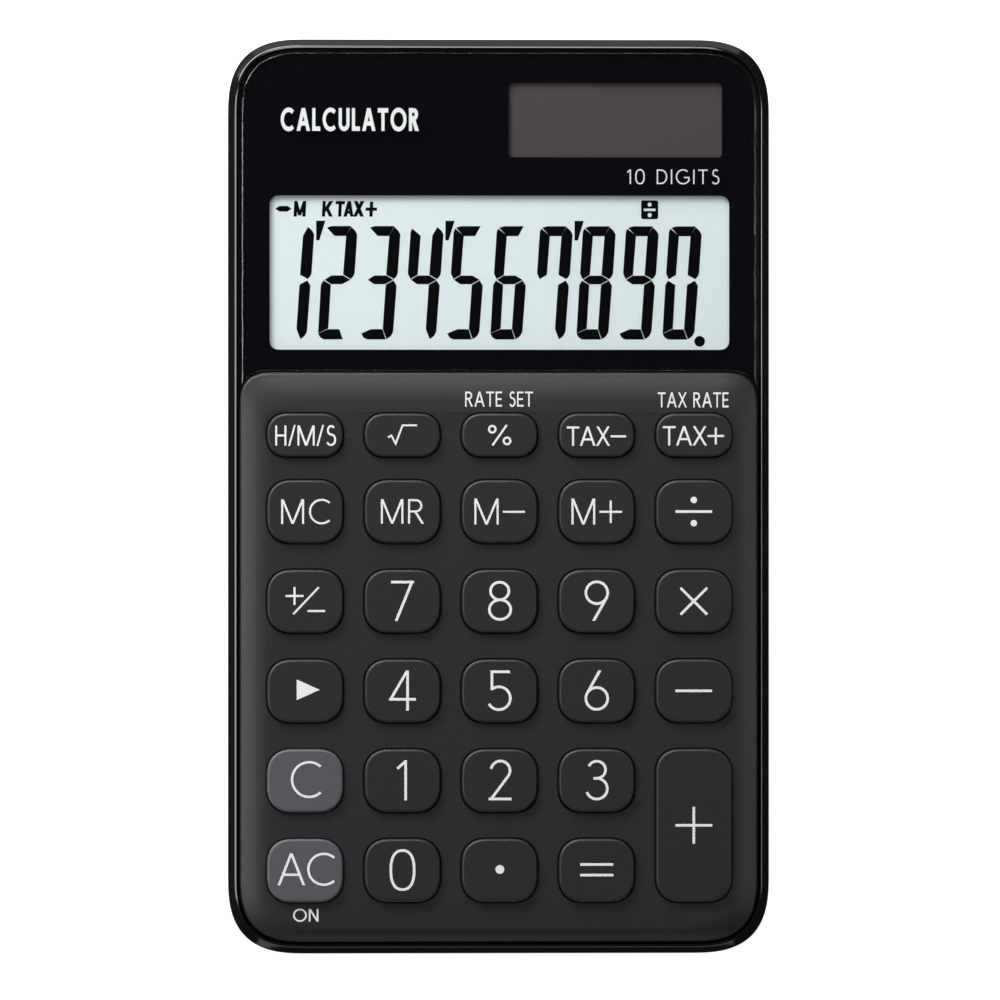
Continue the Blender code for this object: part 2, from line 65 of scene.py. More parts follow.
# Sizes read from the frame
CASE_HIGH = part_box("rear_case")[1]
PLATE_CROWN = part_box("upper_case")[1].z
PANE_LOW, PANE_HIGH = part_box("display_window")
MASK_LOW, MASK_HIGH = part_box("panel_film")
KEYPAD_LOW, KEYPAD_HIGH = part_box("rubber_keypad")
SHEET_TOP = KEYPAD_LOW.z + 0.4 * MM  # the domes stand on the sheet
HALF_WIDTH = CASE_HIGH.x
HALF_LENGTH = CASE_HIGH.y
RIM_TOP = CASE_HIGH.z
KEYS = sorted(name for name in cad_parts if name.startswith("key_"))
SCREWS = sorted(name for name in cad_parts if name.startswith("case_screw_"))

# Case shell
CASE_CORNER = 10.2 * MM
FLOOR = 1.1 * MM
WALL = 2.0 * MM
LEDGE = 4.3 * MM
RIM_WIDTH = 1.2 * MM
BAND_FROM = 0.06 * MM  # insets of the sloping band round the rim
BAND_TO = 0.8 * MM
RIM_CREST = 1.1 * MM  # inset of the rim's highest line
PAD_ROOT = 0.8 * MM  # inside the floor, so that the pad joins it
PAD_TOP = 2.0 * MM
PAD_RADIUS = 2.9 * MM
SINK_RADIUS = 1.85 * MM
SINK_DEPTH = 1.25 * MM
PASSAGE_RADIUS = 1.0 * MM
WELL_CLEARANCE = 0.75 * MM  # round the button cell
WELL_FLOOR = 0.6 * MM

# Key plate, with its pillowed edge
SLAB_INSET = 1.3 * MM
SLAB_TOP = 5.5 * MM
SLAB_BOTTOM = 4.5 * MM
LEDGE_SHADE_TO = 5.7 * MM  # below this the upper shell is dull black: painted shade in the groove round the display
PLATE_INSET = 1.5 * MM
PLATE_HALF = HALF_WIDTH - PLATE_INSET
PLATE_BOTTOM = -HALF_LENGTH + PLATE_INSET
PLATE_TOP = 16.0 * MM
PLATE_TOP_CORNER = 4.6 * MM
PILLOW_SIDE = 4.1 * MM  # how far the pillowed edge reaches in from each side
PILLOW_TOP = 5.2 * MM
PILLOW_BOTTOM = 2.6 * MM
PILLOW_DROP = 0.75 * MM
LEVEL_FROM = 0.7  # past this share of the way in, the top is filled instead of lofted
CORNER_EASE = 0.25  # how much of the way in the plate's upper corners lose
PLATE_EDGE_RADIUS = 0.38 * MM
POCKET_TOP = 6.3 * MM
BOSS_RADIUS = 1.7 * MM
BOSS_BOTTOM = 2.3 * MM
PILOT_TOP = 5.15 * MM
BOSS_ROOF = 1.25 * MM  # over a screw's pilot hole
BOSS_ROOF_THIN = 0.25 * MM  # the same, under the display window
HOLE_CLEARANCE = 0.13 * MM
HOLE_ROUND = 0.08 * MM
GAP = 0.25 * MM  # between the plate and the display window

# Display
LCD_VIEW = (-29.6 * MM, 29.83 * MM, 18.95 * MM, 38.84 * MM)
LCD_VIEW_CORNER = 1.2 * MM
SOLAR_VIEW = (1.29 * MM, 28.9 * MM, 43.81 * MM, 53.42 * MM)
SOLAR_VIEW_CORNER = 0.7 * MM
PANE_TOP_EDGE = 0.4  # the bevel along the pane's top edge is this much narrower
PRINT = 0.015 * MM  # how far printed legends and LCD segments stand proud
SUNK = 0.005 * MM

# Keys
CAP_CORNER = 3.3 * MM
SMALL_CAP_CORNER = 2.75 * MM
SMALL_CAP_LIMIT = 7.0 * MM
MOST_CORNER_LOSS = 2.2 * MM
CAP_ROUND = 0.34 * MM
FLANGE_WIDTH = 0.45 * MM
FLANGE_BOTTOM = 5.5 * MM
FLANGE_TOP = 6.05 * MM
PLUNGER_INSET = 2.0 * MM
GREY_KEYS = ("key_c", "key_ac")


# ---- outlines, anticlockwise from above


def corner_point(centre, radius, angle, power):
    """A point of a squircle corner, at an angle from +X."""
    across = math.copysign(abs(math.cos(angle)) ** (2 / power), math.cos(angle))
    along = math.copysign(abs(math.sin(angle)) ** (2 / power), math.sin(angle))
    return (centre[0] + radius * across, centre[1] + radius * along)


def rounded(x_from, x_to, y_from, y_to, corner, far_corner=None, power=SQUIRCLE, steps=CORNER_STEPS):
    """A rectangle with rounded corners. far_corner is the radius at y_to, where it differs."""
    far_corner = corner if far_corner is None else far_corner
    points = []
    for quadrant in range(4):
        radius = far_corner if quadrant < 2 else corner
        x_centre = x_to - radius if quadrant in (0, 3) else x_from + radius
        y_centre = y_to - radius if quadrant < 2 else y_from + radius
        for step in range(steps + 1):
            angle = math.radians(90) * (quadrant + step / steps)
            points.append(corner_point((x_centre, y_centre), radius, angle, power))
    return points


def case_outline(inset):
    x, y = HALF_WIDTH - inset, HALF_LENGTH - inset
    return rounded(-x, x, -y, y, CASE_CORNER - inset)


def pane_outline(inset, top_share=1.0):
    """The display window's outline: its lower edge runs round the top corners of the key plate.

    Along its top edge the inset is only top_share of what it is elsewhere.
    """
    x, y = PANE_HIGH.x - inset, PANE_HIGH.y - top_share * inset
    radius = PLATE_TOP_CORNER + GAP + inset
    centre = (PLATE_HALF - PLATE_TOP_CORNER, PLATE_TOP - PLATE_TOP_CORNER)
    tip = math.acos(((x - centre[0]) / radius) ** (SQUIRCLE / 2))
    right_arc = []
    for step in range(CORNER_STEPS + 1):
        angle = math.radians(90) + (tip - math.radians(90)) * step / CORNER_STEPS
        right_arc.append(corner_point(centre, radius, angle, SQUIRCLE))
    left_arc = [(-px, py) for px, py in reversed(right_arc)]
    corner = CASE_CORNER - (HALF_WIDTH - PANE_HIGH.x) - inset
    whole = rounded(-x, x, -y, y, corner)
    upper_half = [point for point in whole if point[1] > 0]
    return left_arc + right_arc + upper_half


def circle(radius, centre=(0.0, 0.0), sides=32):
    points = []
    for step in range(sides):
        angle = math.tau * step / sides
        points.append((centre[0] + radius * math.cos(angle), centre[1] + radius * math.sin(angle)))
    return points


def rectangle(x_from, x_to, y_from, y_to):
    return [(x_from, y_from), (x_to, y_from), (x_to, y_to), (x_from, y_to)]


def grown(box, margin):
    x_from, x_to, y_from, y_to = box
    return (x_from - margin, x_to + margin, y_from - margin, y_to + margin)


def quarter_round(radius, steps):
    """(outwards, up) of a quarter circle from the foot of its vertical side to its level top."""
    turns = [math.radians(90) * step / steps for step in range(steps + 1)]
    return [(radius * (1 - math.cos(turn)), radius * math.sin(turn)) for turn in turns]


def falling(height, inset, steps):
    """A profile, from its foot up, that falls outwards from a level top.

    A step is (next inset, slope in degrees).
    """
    profile = [(height, inset)]
    for outer, slope in steps:
        height -= (inset - outer) * math.tan(math.radians(slope))
        inset = outer
        profile.append((height, inset))
    return profile[::-1]


# ---- meshes


def add_ring(mesh, outline, height):
    return [mesh.verts.new((x, y, height)) for x, y in outline]


def join_rings(mesh, low, high):
    for here in range(len(low)):
        there = (here + 1) % len(low)
        mesh.faces.new((low[here], low[there], high[there], high[here]))


def add_loft(mesh, rings):
    """Adds a closed body through rings of (outline, height), from its underside outwards and up."""
    levels = [add_ring(mesh, outline, height) for outline, height in rings]
    for low, high in zip(levels, levels[1:]):
        join_rings(mesh, low, high)
    mesh.faces.new(levels[0][::-1])
    mesh.faces.new(levels[-1])


def fill(mesh, outer, holes=(), loose=(), facing=1):
    """Covers the space inside a loop of vertices and outside the loops in it, meeting the loose ones too."""
    loops = [outer, *holes]
    corners = [corner for loop in loops for corner in loop] + list(loose)
    places = {}
    points = []
    for corner in corners:
        places[len(points)] = corner
        points.append(Vector((corner.co.x / MM, corner.co.y / MM)))
    faces = []
    start = 0
    for loop in loops:
        faces.append(list(range(start, start + len(loop))))
        start += len(loop)
    _, _, triangles, sources, _, cover = delaunay_2d_cdt(points, [], faces, 1, 1e-6)
    for triangle, inside in zip(triangles, cover):
        if list(inside) == [0]:
            around = [places[sources[point][0]] for point in triangle]
            mesh.faces.new(around if facing > 0 else around[::-1])


def add_flat(mesh, polygons, bottom, top):
    """Adds a flat body in the shape that the polygons, in millimetres, cover together."""
    points, faces = [], []
    for polygon in polygons:
        faces.append(list(range(len(points), len(points) + len(polygon))))
        points += [Vector(point) for point in polygon]
    places, _, triangles, _, _, cover = delaunay_2d_cdt(points, [], faces, 1, 1e-5)
    covered = [triangle for triangle, inside in zip(triangles, cover) if inside]
    used = sorted({point for triangle in covered for point in triangle})
    low = {point: mesh.verts.new((places[point].x * MM, places[point].y * MM, bottom)) for point in used}
    high = {point: mesh.verts.new((places[point].x * MM, places[point].y * MM, top)) for point in used}
    edges = set()
    for triangle in covered:
        mesh.faces.new([high[point] for point in triangle])
        mesh.faces.new([low[point] for point in reversed(triangle)])
        edges |= set(zip(triangle, triangle[1:] + triangle[:1]))
    for here, there in sorted(edges):
        if (there, here) not in edges:
            mesh.faces.new((low[here], low[there], high[there], high[here]))


def finished_piece(name, mesh, finish, body=CHASSIS, sharp=35):
    """The object of a mesh: shaded smooth between its sharp edges, and riding on its body."""
    data = bpy.data.meshes.new(name)
    mesh.to_mesh(data)
    mesh.free()
    data.materials.append(finish)
    made = bpy.data.objects.new(name, data)
    shade_again(made, sharp)
    bpy.context.scene.collection.objects.link(made)
    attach(made, body)
    return made


def pierced_plate(name, outlines, low, high, finish, slot):
    """A flat piece. The first outline is its edge, and the others are upright holes through it."""
    mesh = bmesh.new()
    lows = [add_ring(mesh, outline, low) for outline in outlines]
    highs = [add_ring(mesh, outline, high) for outline in outlines]
    join_rings(mesh, lows[0], highs[0])
    for below, above in zip(lows[1:], highs[1:]):
        join_rings(mesh, above, below)
    fill(mesh, highs[0], highs[1:])
    fill(mesh, lows[0], lows[1:], facing=-1)
    return finished_piece(name, mesh, finish)


def shade_again(piece, sharp=35):
    """Marks the sharp edges again, once a piece's mesh has been cut or joined."""
    piece.data.shade_smooth()
    piece.data.set_sharp_from_angle(angle=math.radians(sharp))


def even_shading(piece):
    """Keeps wide flat faces flat where they meet a fine rounded edge."""
    modifier = piece.modifiers.new("even_shading", "WEIGHTED_NORMAL")
    modifier.keep_sharp = True
    modifier.weight = 50


def combine(piece, operation, bodies):
    """Joins lofted bodies to the piece, or cuts them out of it."""
    mesh = bmesh.new()
    for rings in bodies:
        add_loft(mesh, rings)
    data = bpy.data.meshes.new("tool")
    mesh.to_mesh(data)
    mesh.free()
    data.materials.append(piece.data.materials[0])
    tool = bpy.data.objects.new("tool", data)
    bpy.context.scene.collection.objects.link(tool)
    modifier = piece.modifiers.new("combine", "BOOLEAN")
    modifier.operation = operation
    modifier.solver = "EXACT"
    modifier.object = tool
    apply_modifiers(piece)
    bpy.data.objects.remove(tool)


def apply_modifiers(piece):
    graph = bpy.context.evaluated_depsgraph_get()
    shaped = bpy.data.meshes.new_from_object(piece.evaluated_get(graph))
    piece.modifiers.clear()
    piece.data = shaped


def prism(outline, bottom, top):
    return [(outline, bottom), (outline, top)]


def solid(name, finish, slot, *bodies, body=CHASSIS, sharp=35):
    mesh = bmesh.new()
    for rings in bodies:
        add_loft(mesh, rings)
    return finished_piece(name, mesh, finish, body, sharp)


# ---- materials


class Graph:
    """The nodes of one material, made and linked a line at a time."""

    def __init__(self, name):
        self.material = bpy.data.materials.new(name)
        self.material.use_nodes = True
        self.tree = self.material.node_tree
        self.shader = self.tree.nodes["Principled BSDF"]
        self.output = self.tree.nodes["Material Output"]

    def node(self, kind, settings=(), **inputs):
        made = self.tree.nodes.new("ShaderNode" + kind)
        for key, value in dict(settings).items():
            setattr(made, key, value)
        for key, value in inputs.items():
            self.feed(made.inputs[key.replace("_", " ")], value)
        return made

    def feed(self, socket, value):
        if isinstance(value, bpy.types.NodeSocket):
            self.tree.links.new(value, socket)
        else:
            socket.default_value = value

    def place(self):
        return self.node("TexCoord").outputs["Object"]

    def noise(self, size, detail=2.0, where=None):
        """A 0 to 1 noise whose blotches are about size metres across."""
        where = self.place() if where is None else where
        return self.node("TexNoise", Vector=where, Scale=1 / size, Detail=detail).outputs["Fac"]

    def spread(self, factor, low, high, start=0.3, end=0.7):
        """Stretches a factor between start and end over low to high."""
        made = self.node("MapRange", Value=factor)
        for key, value in zip(("From Min", "From Max", "To Min", "To Max"), (start, end, low, high)):
            made.inputs[key].default_value = value
        return made.outputs["Result"]

    def blend(self, factor, first, second):
        made = self.node("Mix", {"data_type": "RGBA"})
        self.feed(made.inputs["Factor"], factor)
        self.feed(made.inputs[6], first)
        self.feed(made.inputs[7], second)
        return made.outputs[2]

    def bump(self, height, depth, strength=1.0):
        """Tilts the surface by a height, where 1 stands depth metres high."""
        made = self.node("Bump", Height=height, Distance=depth, Strength=strength)
        self.tree.links.new(made.outputs["Normal"], self.shader.inputs["Normal"])

    def set(self, **inputs):
        for key, value in inputs.items():
            self.feed(self.shader.inputs[key.replace("_", " ")], value)


def tint(colour, share):
    """A colour made lighter or darker by a share of itself."""
    return tuple(channel * (1 + share) for channel in colour) + (1.0,)


def plastic_graph(name, colour, roughness, drift=0.06, grain=0.12 * MM, depth=0.004 * MM, level=0.5):
    """Moulded plastic: a fine grain, and colour and gloss that drift a little across it."""
    graph = Graph(name)
    broad = graph.noise(14 * MM, 3.0)
    graph.set(Base_Color=graph.blend(broad, tint(colour, -drift), tint(colour, drift)))
    fine = graph.noise(grain, 3.0)
    graph.set(Roughness=graph.spread(fine, roughness - drift, roughness + drift))
    graph.set(Specular_IOR_Level=level)
    graph.bump(fine, depth)
    return graph


def plastic(*settings, **named):
    return plastic_graph(*settings, **named).material


def case_black():
    """Gloss black round the rim and sides, and a matt moulded texture on the back face."""
    graph = Graph("case_black")
    colour = (0.0065, 0.0063, 0.0075)
    broad = graph.noise(18 * MM, 2.0)
    graph.set(Base_Color=graph.blend(broad, tint(colour, -0.1), tint(colour, 0.1)))
    height = graph.node("SeparateXYZ", Vector=graph.place()).outputs["Z"]
    back = graph.spread(height, 1.0, 0.0, 0.2 * MM, 1.1 * MM)
    gloss = graph.spread(graph.noise(3 * MM, 4.0), 0.075, 0.095)
    rough = graph.node("Mix", {"data_type": "FLOAT"}, Factor=back)
    graph.feed(rough.inputs[2], gloss)
    rough.inputs[3].default_value = 0.55
    level = graph.spread(height, 0.42, 0.8, 5.2 * MM, 5.7 * MM)
    graph.set(Roughness=rough.outputs[0], Specular_IOR_Level=level)
    grain = graph.node("TexVoronoi", Vector=graph.place(), Scale=1 / (0.35 * MM)).outputs["Distance"]
    relief = graph.node("Math", {"operation": "MULTIPLY"})
    graph.feed(relief.inputs[0], grain)
    graph.feed(relief.inputs[1], back)
    graph.bump(relief.outputs[0], 0.05 * MM)
    return graph.material


def plate_grey():
    """The key plate's satin grey, with painted shade that darkens it to near black down into the groove
    round the plate.
    """
    graph = plastic_graph("plate_grey", (0.0138, 0.0135, 0.0157), 0.42)
    height = graph.node("SeparateXYZ", Vector=graph.place()).outputs["Z"]
    # Painted shade: from 6.3 mm down to 5.9 mm the grey fades to near black in the groove round the plate.
    above_painted_shade = graph.spread(height, 0.0, 1.0, 5.9 * MM, 6.3 * MM)
    colour = graph.shader.inputs["Base Color"].links[0].from_socket
    graph.set(Base_Color=graph.blend(above_painted_shade, (0.002, 0.002, 0.002, 1.0), colour))
    return graph.material


def clear_acrylic():
    """A clear pane: what is behind it shows, under a sharp reflection that is a little uneven."""
    graph = Graph("clear_acrylic")
    links = graph.tree.links
    graph.tree.nodes.remove(graph.shader)
    see_through = graph.node("BsdfTransparent", Color=(0.97, 0.98, 0.985, 1.0))
    haze = graph.spread(graph.noise(6 * MM, 5.0), 0.045, 0.055)
    gloss = graph.node("BsdfGlossy", Color=(1.0, 1.0, 1.0, 1.0), Roughness=haze)
    facing = graph.node("LayerWeight", Blend=0.5).outputs["Facing"]
    steep = graph.node("Math", {"operation": "POWER"})
    graph.feed(steep.inputs[0], facing)
    steep.inputs[1].default_value = 5.0
    mix = graph.node("MixShader", Fac=graph.spread(steep.outputs[0], 0.055, 1.0, 0.0, 1.0))
    links.new(see_through.outputs[0], mix.inputs[1])
    links.new(gloss.outputs[0], mix.inputs[2])
    links.new(mix.outputs[0], graph.output.inputs["Surface"])
    return graph.material


def lcd_face():
    """The pale face of the display: a cool grey with the faint speckle of its reflector, darkened along its
    top edge by a painted shadow of the mask.
    """
    graph = Graph("lcd_face")
    speckle = graph.noise(0.08 * MM, 2.0)
    colour = (0.872, 0.944, 0.939)
    grey = graph.blend(speckle, tint(colour, -0.02), tint(colour, 0.02))
    # Painted shadow: over the last 1.1 mm below its top edge the face darkens, standing for the shadow of
    # the mask's edge.
    along = graph.node("SeparateXYZ", Vector=graph.place()).outputs["Y"]
    painted_mask_shadow = graph.spread(along, 0.0, 1.0, LCD_VIEW[3] - 1.1 * MM, LCD_VIEW[3])
    graph.set(Base_Color=graph.blend(painted_mask_shadow, grey, tint(colour, -0.17)))
    graph.set(Roughness=graph.spread(graph.noise(5 * MM), 0.55, 0.65))
    graph.set(Specular_IOR_Level=0.2)
    graph.bump(speckle, 0.002 * MM)
    return graph.material


def solar_silicon():
    """Amorphous silicon under glass: warm dark grey, in four cells parted by hairlines."""
    graph = Graph("solar_silicon")
    low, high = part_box("solar_cell")
    colour = (0.0798, 0.0651, 0.0659)
    broad = graph.noise(7 * MM, 3.0)
    silicon = graph.blend(broad, tint(colour, -0.03), tint(colour, 0.03))
    across = graph.node("SeparateXYZ", Vector=graph.place()).outputs["X"]
    share = graph.spread(across, 0.0, 4.0, low.x, high.x)
    part = graph.node("Math", {"operation": "FRACT"})
    graph.feed(part.inputs[0], share)
    line = graph.node("Math", {"operation": "LESS_THAN"})
    graph.feed(line.inputs[0], part.outputs[0])
    line.inputs[1].default_value = 0.006
    graph.set(Base_Color=graph.blend(line.outputs[0], silicon, tint(colour, -0.1)))
    graph.set(Roughness=graph.spread(graph.noise(2 * MM), 0.4, 0.5))
    graph.set(Specular_IOR_Level=0.25)
    graph.bump(graph.noise(0.1 * MM), 0.001 * MM)
    return graph.material


def ink(name, colour, roughness, level=0.3):
    """Screen-printed ink: nearly flat, with a little waviness."""
    graph = Graph(name)
    fine = graph.noise(0.15 * MM, 2.0)
    graph.set(Base_Color=graph.blend(fine, tint(colour, -0.02), tint(colour, 0.02)))
    graph.set(Roughness=graph.spread(fine, roughness - 0.05, roughness + 0.05))
    graph.set(Specular_IOR_Level=level)
    graph.bump(fine, 0.001 * MM)
    return graph.material


def metal(name, colour, roughness, brush):
    """Plated steel, with fine marks stretched along X."""
    graph = Graph(name)
    stretched = graph.node("Mapping", Vector=graph.place(), Scale=(0.12, 1.0, 1.0)).outputs["Vector"]
    marks = graph.noise(brush, 4.0, stretched)
    graph.set(Base_Color=graph.blend(marks, tint(colour, -0.08), tint(colour, 0.04)))
    graph.set(Metallic=1.0)
    graph.set(Roughness=graph.spread(marks, roughness - 0.06, roughness + 0.08))
    graph.bump(marks, 0.003 * MM)
    return graph.material


def circuit_green():
    """Solder mask over copper: straight traces show as lighter, raised lines."""
    graph = Graph("circuit_green")
    wave = graph.node("TexWave", {"bands_direction": "X"}, Vector=graph.place(), Scale=180.0)
    wave.inputs["Distortion"].default_value = 0.0
    cells = graph.node("TexVoronoi", {"distance": "CHEBYCHEV"}, Vector=graph.place(), Scale=220.0)
    traces = graph.node("Math", {"operation": "MULTIPLY"})
    graph.feed(traces.inputs[0], graph.spread(wave.outputs["Fac"], 0.0, 1.0, 0.72, 0.8))
    graph.feed(traces.inputs[1], graph.spread(cells.outputs["Distance"], 0.0, 1.0, 0.2, 0.24))
    mask, copper = (0.012, 0.085, 0.035, 1.0), (0.03, 0.17, 0.06, 1.0)
    graph.set(Base_Color=graph.blend(traces.outputs[0], mask, copper))
    graph.set(Roughness=graph.spread(graph.noise(1 * MM), 0.25, 0.4))
    graph.bump(traces.outputs[0], 0.03 * MM)
    return graph.material


def striped_rubber():
    """The display's connector: conducting layers a twentieth of a millimetre apart."""
    graph = Graph("striped_rubber")
    wave = graph.node("TexWave", {"bands_direction": "X"}, Vector=graph.place(), Scale=3000.0)
    graph.set(Base_Color=graph.blend(wave.outputs["Fac"], (0.5, 0.12, 0.2, 1.0), (0.03, 0.03, 0.03, 1.0)))
    graph.set(Roughness=graph.spread(graph.noise(0.4 * MM), 0.55, 0.7))
    graph.bump(wave.outputs["Fac"], 0.004 * MM)
    return graph.material


# ---- case


def make_rear_shell():
    """The tub: rounded at the back, upright at the sides, with a sloping rim that ends in a fine crest."""
    heel_inset, heel_height, steps = 2.4 * MM, 2.2 * MM, 10
    outside = []
    for step in range(steps + 1):
        turn = math.radians(90) * step / steps
        outside.append((heel_height * (1 - math.cos(turn)), heel_inset * (1 - math.sin(turn))))
    outside += [(5.6 * MM, 0.0), (5.74 * MM, 0.01 * MM), (5.81 * MM, 0.03 * MM)]
    facet_to, facet_from = RIM_CREST - 0.08 * MM, RIM_CREST - 0.22 * MM
    slopes = ((facet_to, 8), (facet_from, 20), (BAND_TO, 31), (BAND_FROM, 41))
    outside += falling(RIM_TOP, RIM_CREST, slopes)
    inside = [(6.56 * MM, 1.115 * MM), (6.4 * MM, 1.16 * MM), (6.1 * MM, RIM_WIDTH)]
    inside += [(LEDGE, RIM_WIDTH), (LEDGE, WALL), (FLOOR, WALL)]
    rings = [(case_outline(inset), height) for height, inset in outside + inside]
    shell = solid("rear_shell", case_black(), "gloss_black", rings)
    places = [screw_place(name) for name in SCREWS]
    combine(shell, "UNION", [prism(circle(PAD_RADIUS, at), PAD_ROOT, PAD_TOP) for at in places])
    eased = 0.15 * MM
    sinks = []
    for at in places:
        sinks.append([
            (circle(SINK_RADIUS + 2 * eased, at), -eased),
            (circle(SINK_RADIUS, at), eased),
            (circle(SINK_RADIUS, at), SINK_DEPTH),
        ])
    combine(shell, "DIFFERENCE", sinks)
    ends = (SINK_DEPTH / 2, PAD_TOP + 1 * MM)
    combine(shell, "DIFFERENCE", [prism(circle(PASSAGE_RADIUS, at), *ends) for at in places])
    low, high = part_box("battery_cell")
    centre = ((low.x + high.x) / 2, (low.y + high.y) / 2)
    well = circle((high.x - low.x) / 2 + WELL_CLEARANCE, centre, 48)
    combine(shell, "DIFFERENCE", [prism(well, WELL_FLOOR, FLOOR + 0.4 * MM)])
    shade_again(shell)
    even_shading(shell)
    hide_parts("rear_case")


def plate_outline(share):
    """The key plate's outline, a share of the way in across its pillowed edge."""
    side, top, bottom = share * PILLOW_SIDE, share * PILLOW_TOP, share * PILLOW_BOTTOM
    x = PLATE_HALF - side
    lower_corner = CASE_CORNER - PLATE_INSET - side
    upper_corner = PLATE_TOP_CORNER - CORNER_EASE * side
    return rounded(-x, x, PLATE_BOTTOM + bottom, PLATE_TOP - top, lower_corner, upper_corner)


def within_plate(x, y, share):
    """True if a point lies inside the plate's outline at that share."""
    side, top, bottom = share * PILLOW_SIDE, share * PILLOW_TOP, share * PILLOW_BOTTOM
    half, low, high = PLATE_HALF - side, PLATE_BOTTOM + bottom, PLATE_TOP - top
    if abs(x) > half or not low < y < high:
        return False
    lower = CASE_CORNER - PLATE_INSET - side
    upper = PLATE_TOP_CORNER - CORNER_EASE * side
    radius, rise = (upper, y - (high - upper)) if y > 0 else (lower, low + lower - y)
    reach = abs(x) - (half - radius)
    if reach <= 0 or rise <= 0:
        return True
    return reach ** SQUIRCLE + rise ** SQUIRCLE < radius ** SQUIRCLE


def pillow_share(x, y):
    """How far in from the plate's edge a point is: 0 at the edge, 1 where the plate is level."""
    low, high = 0.0, 1.0
    for _ in range(20):
        middle = (low + high) / 2
        if within_plate(x, y, middle):
            low = middle
        else:
            high = middle
    return low


def pillow_height(share):
    return PLATE_CROWN - PILLOW_DROP * (1 - share) ** 2


def key_sizes(name):
    """A cap's centre, half width, half height and corner radius, without the flange round its foot."""
    low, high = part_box(name)
    half_width = (high.x - low.x) / 2 - FLANGE_WIDTH
    half_height = (high.y - low.y) / 2 - FLANGE_WIDTH
    corner = SMALL_CAP_CORNER if 2 * half_height < SMALL_CAP_LIMIT else CAP_CORNER
    return (low.x + high.x) / 2, (low.y + high.y) / 2, half_width, half_height, corner


KEY_SIZES = {name: key_sizes(name) for name in KEYS}


def key_outline(name, margin, steps=10):
    """A cap's outline, grown by margin."""
    x, y, half_width, half_height, corner = KEY_SIZES[name]
    half_width += margin
    half_height += margin
    corner += max(margin, -MOST_CORNER_LOSS)
    box = (x - half_width, x + half_width, y - half_height, y + half_height)
    return rounded(*box, corner, power=KEY_SQUIRCLE, steps=steps)


def in_a_hole(x, y, margin):
    for at_x, at_y, half_width, half_height, _ in KEY_SIZES.values():
        reach = HOLE_CLEARANCE + margin
        if abs(x - at_x) < half_width + reach and abs(y - at_y) < half_height + reach:
            return True
    return False


def add_plate_top(mesh, foot):
    """The pillowed top, from the ring of its foot inwards, down to the ring of each key hole."""
    first = PLATE_EDGE_RADIUS / PILLOW_SIDE
    edge_height = pillow_height(first)
    below = foot
    for out, up in quarter_round(PLATE_EDGE_RADIUS, 5):
        ring = add_ring(mesh, plate_outline(out / PILLOW_SIDE), edge_height - PLATE_EDGE_RADIUS + up)
        join_rings(mesh, below, ring)
        below = ring
    rings = 9
    for step in range(1, rings + 1):
        share = first + (LEVEL_FROM - first) * step / rings
        ring = add_ring(mesh, plate_outline(share), pillow_height(share))
        join_rings(mesh, below, ring)
        below = ring
    holes = []
    for name in KEYS:
        outline = key_outline(name, HOLE_CLEARANCE + HOLE_ROUND)
        holes.append([mesh.verts.new((x, y, pillow_height(pillow_share(x, y)))) for x, y in outline])
    loose = []
    for share in (0.78, 0.86, 0.93, 1.0):
        for x, y in plate_outline(share):
            if not in_a_hole(x, y, 3 * HOLE_ROUND):
                loose.append(mesh.verts.new((x, y, pillow_height(share))))
    fill(mesh, below, holes, loose)
    return holes


def add_hole_wall(mesh, name, top):
    """The eased lip and the wall of a key hole, down to the roof of the pocket."""
    above = top
    steps = 3
    for step in range(1, steps + 1):
        turn = math.radians(90) * step / steps
        out = HOLE_ROUND * (1 - math.sin(turn))
        down = HOLE_ROUND * (1 - math.cos(turn))
        outline = key_outline(name, HOLE_CLEARANCE + out)
        ring = [mesh.verts.new((x, y, corner.co.z - down)) for (x, y), corner in zip(outline, top)]
        join_rings(mesh, above, ring)
        above = ring
    foot = add_ring(mesh, key_outline(name, HOLE_CLEARANCE), POCKET_TOP)
    join_rings(mesh, above, foot)
    return foot


